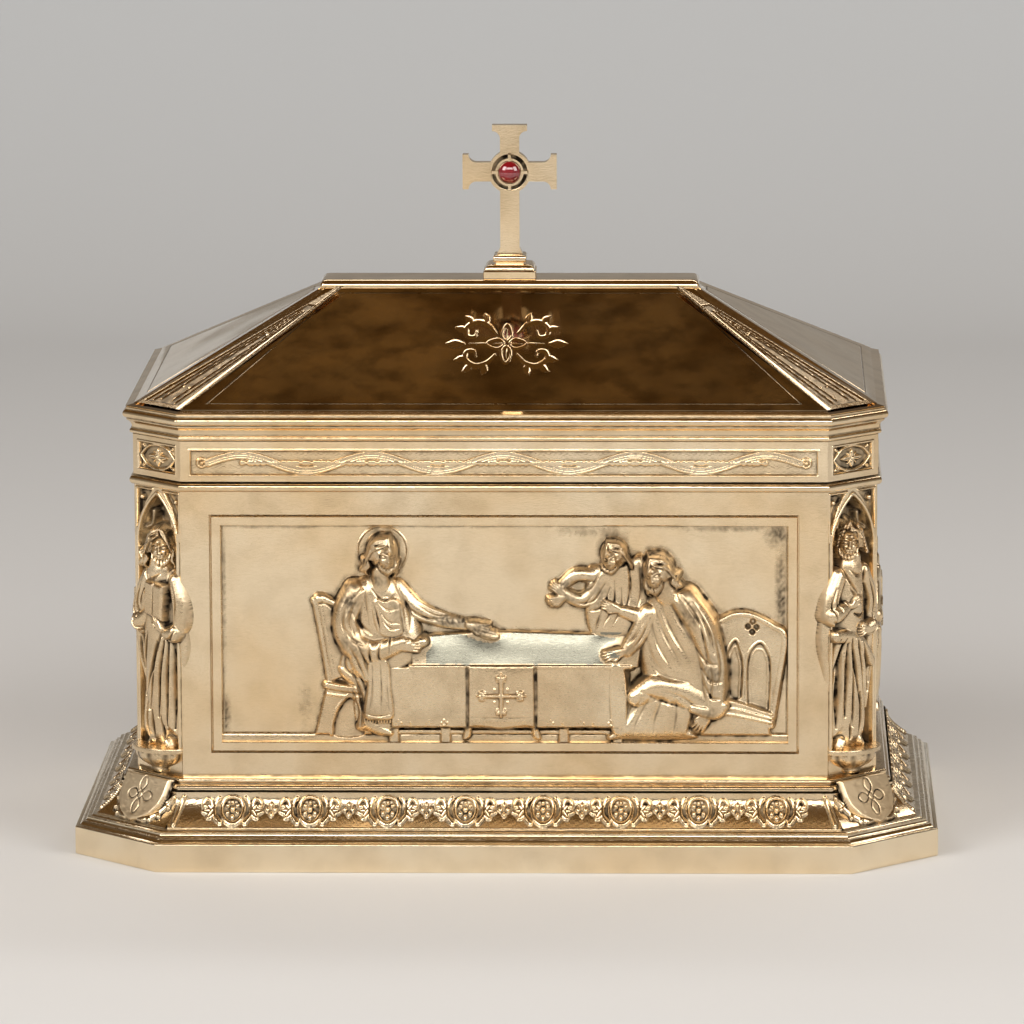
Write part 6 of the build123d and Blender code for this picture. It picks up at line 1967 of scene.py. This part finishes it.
low, high = pedestal_low / MM, pedestal_high / MM
wide, deep = high.x - 0.02, high.y - 0.02
z = low.z
step_levels = [(wide - 0.15, deep - 0.15, z), (wide, deep, z + 0.15), (wide, deep, z + 1.65),
               (wide - 0.15, deep - 0.15, z + 1.8)]
for k in range(7):
    turn = math.pi / 2 * k / 6
    step_levels.append((wide - 0.35 - 1.25 * (1 - math.cos(turn)), deep - 0.35 - 0.9 * (1 - math.cos(turn)),
                        z + 1.95 + 1.3 * math.sin(turn)))
neck = min(3.9, wide - 2.0)
step_levels += [(neck - 0.5, deep - 1.9, z + 3.4), (neck - 0.5, deep - 1.9, z + 3.7),
                (neck - 0.1, deep - 1.5, z + 3.9),
                (neck, deep - 1.4, z + 4.1), (neck, deep - 1.4, high.z - 0.5),
                (neck - 0.2, deep - 1.6, high.z - 0.12),
                (neck - 0.5, deep - 1.9, high.z)]
pedestal = stepped_block("cross_pedestal_steps", step_levels, polished)
stands_for(pedestal, "lid", "polished_gilt", "cross_pedestal")
finish_cad("cross", silver_gilt("cross_gilt", rough=0.17, wave=0.12, scratch=0.08, stain=0.1))
finish_cad("jewel_collet", polished)

cross_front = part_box("cross")[0].y / MM
jewel_low, jewel_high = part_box("jewel")
jewel_z = (jewel_low.z + jewel_high.z) / 2 / MM


def turned(name, profile, material, dark, steps=96):
    """A ring turned about the jewel's own axis from (radius, how far behind the front) points."""
    points, shade = [], []
    for (radius, back), value in zip(profile, dark):
        for k in range(steps):
            turn = 2 * math.pi * k / steps
            points.append((radius * math.cos(turn), cross_front + back, jewel_z + radius * math.sin(turn)))
            shade.append(value)
    faces = ring_faces(len(profile), steps)
    return build(name, points, faces, material, shade, sharp_angle=50)


# Painted shadow: the sunk ring round the collet is dark all over.
shadow_ring = turned("sunk_ring_painted_shadow",
                 ((3.34, 1.2), (3.38, 1.88), (3.7, 1.94), (4.1, 1.88), (4.16, 1.2), (4.17, 0.1),
                  (4.3, -0.03),
                               (4.5, -0.02)), polished, (1, 1, 1, 1, 1, 0.95, 0.35, 0.0))
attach(shadow_ring, "lid")


def garnet_stone():
    """A dome-cut garnet: deep red and glassy, a shade darker in patches."""
    material, nodes, links = shader("garnet")
    stone = nodes["Principled BSDF"]
    depth = spread(nodes, links, clouds(nodes, links, 260, 2), 0.35, 0.7)
    links.new(mixed(nodes, links, depth, (0.30, 0.004, 0.012), (0.12, 0.001, 0.006)),
              stone.inputs["Base Color"])
    stone.inputs["Roughness"].default_value = 0.04
    stone.inputs["IOR"].default_value = 1.76
    stone.inputs["Coat Weight"].default_value = 1.0
    stone.inputs["Coat Roughness"].default_value = 0.02
    return material


def dome_cut(name, radius, front, girdle, material, rings=26, steps=72):
    """A round stone with a high dome in front and a flat base behind its girdle."""
    profile = [(radius * math.sin(math.pi / 2 * k / rings),
                front + (girdle - front) * (1 - math.cos(math.pi / 2 * k / rings)))
               for k in range(1, rings + 1)] + [(radius - 0.1, girdle + 0.35), (0.8 * radius, girdle + 0.6)]
    points = [(0.0, front, jewel_z)]
    for reach, y in profile:
        points += [(reach * math.cos(2 * math.pi * k / steps), y,
                    jewel_z + reach * math.sin(2 * math.pi * k / steps))
                   for k in range(steps)]
    faces = [(0, 1 + k, 1 + (k + 1) % steps) for k in range(steps)]
    faces += [(1 + r * steps + k, 1 + (r + 1) * steps + k, 1 + (r + 1) * steps + (k + 1) % steps,
               1 + r * steps + (k + 1) % steps)
              for r in range(len(profile) - 1) for k in range(steps)]
    faces.append(tuple(1 + (len(profile) - 1) * steps + k for k in reversed(range(steps))))
    return build(name, points, faces, material, sharp_angle=60)


stone = dome_cut("garnet_dome", (jewel_high.x - jewel_low.x) / 2 / MM - 0.02, jewel_low.y / MM,
                 jewel_low.y / MM + 1.75,
                 garnet_stone())
stands_for(stone, "lid", "garnet", "jewel")

# ---- Hinge ----
# Two brass leaves with five knuckles, gilt like the rest, on a plain brass pin. It joins the
# lid to the back wall.
hinge_gilt = silver_gilt("hinge_gilt", rough=0.24, scratch=0.12, stain=0.2)
finish_cad("hinge_body_leaf", hinge_gilt)
finish_cad("hinge_lid_leaf", hinge_gilt)

# ---- Side plaques ----
# Cast like the front one. Each shows three robed figures under pointed arches, in lower relief
# than the front.


def stamp(work, source, u0, v0, size, mirror, flatten):
    """Repeat a modelled figure smaller and flatter inside another relief."""
    su, sv = (work.U - u0) / size * (-1 if mirror else 1), (work.V - v0) / size + source.v[0]
    across = (su - source.u[0]) / source.step
    upward = (sv - source.v[0]) / source.step
    rows, columns = source.h.shape
    i, j = np.clip(upward, 0, rows - 1.001), np.clip(across, 0, columns - 1.001)
    i0, j0 = i.astype(int), j.astype(int)
    fi, fj = i - i0, j - j0
    h = source.h
    sample = ((1 - fi) * ((1 - fj) * h[i0, j0] + fj * h[i0, j0 + 1])
              + fi * ((1 - fj) * h[i0 + 1, j0] + fj * h[i0 + 1, j0 + 1]))
    outside = (upward < 0) | (upward > rows - 1) | (across < 0) | (across > columns - 1)
    work.h = np.maximum(work.h, np.where(outside, UNDER, flatten * sample))


def arcade(work, half, bays, spring, apex, foot):
    """A row of pointed arches on slim shafts, with small caps and bases."""
    bay = 2 * half / bays
    for k in range(bays):
        middle = -half + (k + 0.5) * bay
        for grow, radius in ((0.0, 0.5), (1.15, 0.3)):
            arch = pointed_arch(bay / 2 - 1.0 - grow * 0.9, spring, spring, apex - grow * 1.5, steps=7)[1:-1]
            work.stroke([(middle + u, v) for u, v in arch], radius, 0.75 * radius + 0.3, per_span=2)
        work.dome((middle, apex + 1.3), 0.8, 0.8, 0.8)
    for k in range(bays + 1):
        u = -half + k * bay
        work.stroke([(u, foot + 1.6), (u, spring - 1.0)], 0.62, 0.9, per_span=2)
        work.pad([(u - 1.3, foot), (u + 1.3, foot), (u + 1.1, foot + 1.6), (u - 1.1, foot + 1.6)], 1.2,
                 edge=0.4, smooth=False)
        work.pad([(u - 1.1, spring - 1.4), (u + 1.1, spring - 1.4), (u + 1.5, spring + 0.3),
                  (u - 1.5, spring + 0.3)], 1.3,
                 edge=0.4, smooth=False)
        if 0 < k < bays:
            for a in np.arange(3) * 2 * math.pi / 3 + math.pi / 2:
                work.dome((u + 0.95 * math.cos(a), apex - 0.6 + 0.95 * math.sin(a)), 0.8, 0.8, 0.8)


SIDE_PLAQUE_HALF = 36.375


def three_saints(order):
    """A side relief; order names the three figures and says which are turned about."""
    work = plaque_field(SIDE_PLAQUE_HALF, 0.19)
    work.stroke([(-34, 28.0), (34, 28.0)], 1.4, 0.9, flat=4)
    arcade(work, half=31.6, bays=3, spring=63.0, apex=74.5, foot=28.8)
    for (kind, mirror), u in zip(order, (-21.06, 0.0, 21.06)):
        stamp(work, saints[kind], u, 29.2, size=0.74, mirror=mirror, flatten=0.55)
    return work


for side, order in ((2, (("mantle", False), ("book", True), ("mantle", True))),
                    (6, (("book", False), ("mantle", True), ("book", True)))):
    work = three_saints(order)
    dark = relief_shade(work)
    stains = field_stain(work, ((-33.4, 40, 1.0, 9, 0.6), (33.2, 66, 1.0, 9, 0.6), (0, 77.8, 30, 0.4, 0.4)))
    plate = relief_plate(f"side_plaque_{SIDE_NAMES[side]}", side, SIDE_PLAQUE_HALF, work,
                         np.clip(dark + stains, 0, 1))
    figures = sheet_piece(f"three_saints_{SIDE_NAMES[side]}", work, standing_out(side, FIELD_INSET),
                          chased, dark, floor=0.02)
    figures.parent = plate
    stands_for(plate, "casket", "chased_gilt", f"panel_{SIDE_NAMES[side]}")

# ---- Back plaque ----
# Cast like the front one, with a vine in low relief: two branches roll out from a middle
# flower, with leaves and grapes.


def vine_field():
    """The back relief, the same to the left and to the right."""
    work = plaque_field(PLAQUE_HALF, 0.2)
    middle = (PLAQUE_LOW + PLAQUE_HIGH) / 2
    work.stroke(circle(0, middle, 9.4, 20), 0.8, 1.1, closed=True)
    for a in np.arange(8) * math.pi / 4:
        reach = 6.6 if round(a * 4 / math.pi) % 2 == 0 else 5.0
        tip = (reach * math.cos(a), middle + reach * math.sin(a))
        work.stroke([(0, middle), (0.55 * tip[0], middle + 0.55 * (tip[1] - middle)), tip],
                    [1.0, 1.7, 0.3], 1.3)
        work.press([(0.25 * tip[0], middle + 0.25 * (tip[1] - middle)), tip], 0.25, 0.4)
    work.dome((0, middle), 2.0, 2.0, 1.9)
    for way in (-1, 1):
        spine = [(9.5, middle), (15, middle + 6), (24, middle + 9), (33, middle + 2), (40, middle - 8),
                 (50, middle - 9),
                 (59, middle - 2), (61, middle + 7)]
        work.stroke([(way * u, v) for u, v in spine], [1.0, 1.0, 0.95, 0.95, 0.9, 0.85, 0.7, 0.4], 1.3)
        for c_u, c_v, size, spin in ((22, middle - 5, 8.6, 1), (42.5, middle + 7, 8.8, -1),
                                     (56, middle - 15, 5.6, 1),
                                     (13.5, middle + 15.5, 5.4, -1), (28.5, middle + 18.5, 4.6, 1),
                                     (59, middle + 16.5, 4.8, -1)):
            curl = []
            for k in range(15):
                turn = spin * (2.2 + 0.52 * k) + (0 if spin > 0 else math.pi)
                reach = size * (1 - k / 17)
                curl.append((way * (c_u + reach * math.cos(turn)), c_v + reach * math.sin(turn)))
            root = min(spine, key=lambda spot: math.dist(spot, (way * curl[0][0], curl[0][1])))
            work.stroke([(way * root[0], root[1]), curl[0]], [0.8, 0.75], 1.1)
            work.stroke(curl, np.linspace(0.75, 0.4, 15), 1.1, per_span=3)
            for k in range(2, 12, 3):
                (ax, ay), (bx, by) = curl[k], curl[k + 1]
                out = (ax - way * c_u, ay - c_v)
                reach = math.hypot(*out)
                tip = (ax + 2.5 * out[0] / reach + 0.9 * (bx - ax),
                       ay + 2.5 * out[1] / reach + 0.9 * (by - ay))
                work.stroke([(ax, ay), (0.5 * (ax + tip[0]), 0.5 * (ay + tip[1])), tip], [0.4, 1.1, 0.2],
                            1.0)
                work.press([(ax, ay), tip], 0.2, 0.35)
            if size > 8:
                for row in range(5):
                    for k in range(5 - row):
                        work.dome((way * c_u + (k - (4 - row) / 2) * 1.35, c_v + 2.2 - 1.2 * row), 0.78,
                                  0.78, 1.5)
            else:
                work.dome((way * c_u, c_v), 1.0, 1.0, 1.3)
    return work


vine_work = vine_field()
vine_dark = relief_shade(vine_work)
back_plaque = relief_plate("back_plaque", 4, PLAQUE_HALF, vine_work, vine_dark)
branches = sheet_piece("vine_branches", vine_work, standing_out(4, FIELD_INSET), chased, vine_dark,
                       floor=0.02)
branches.parent = back_plaque
stands_for(back_plaque, "casket", "chased_gilt", "panel_back")
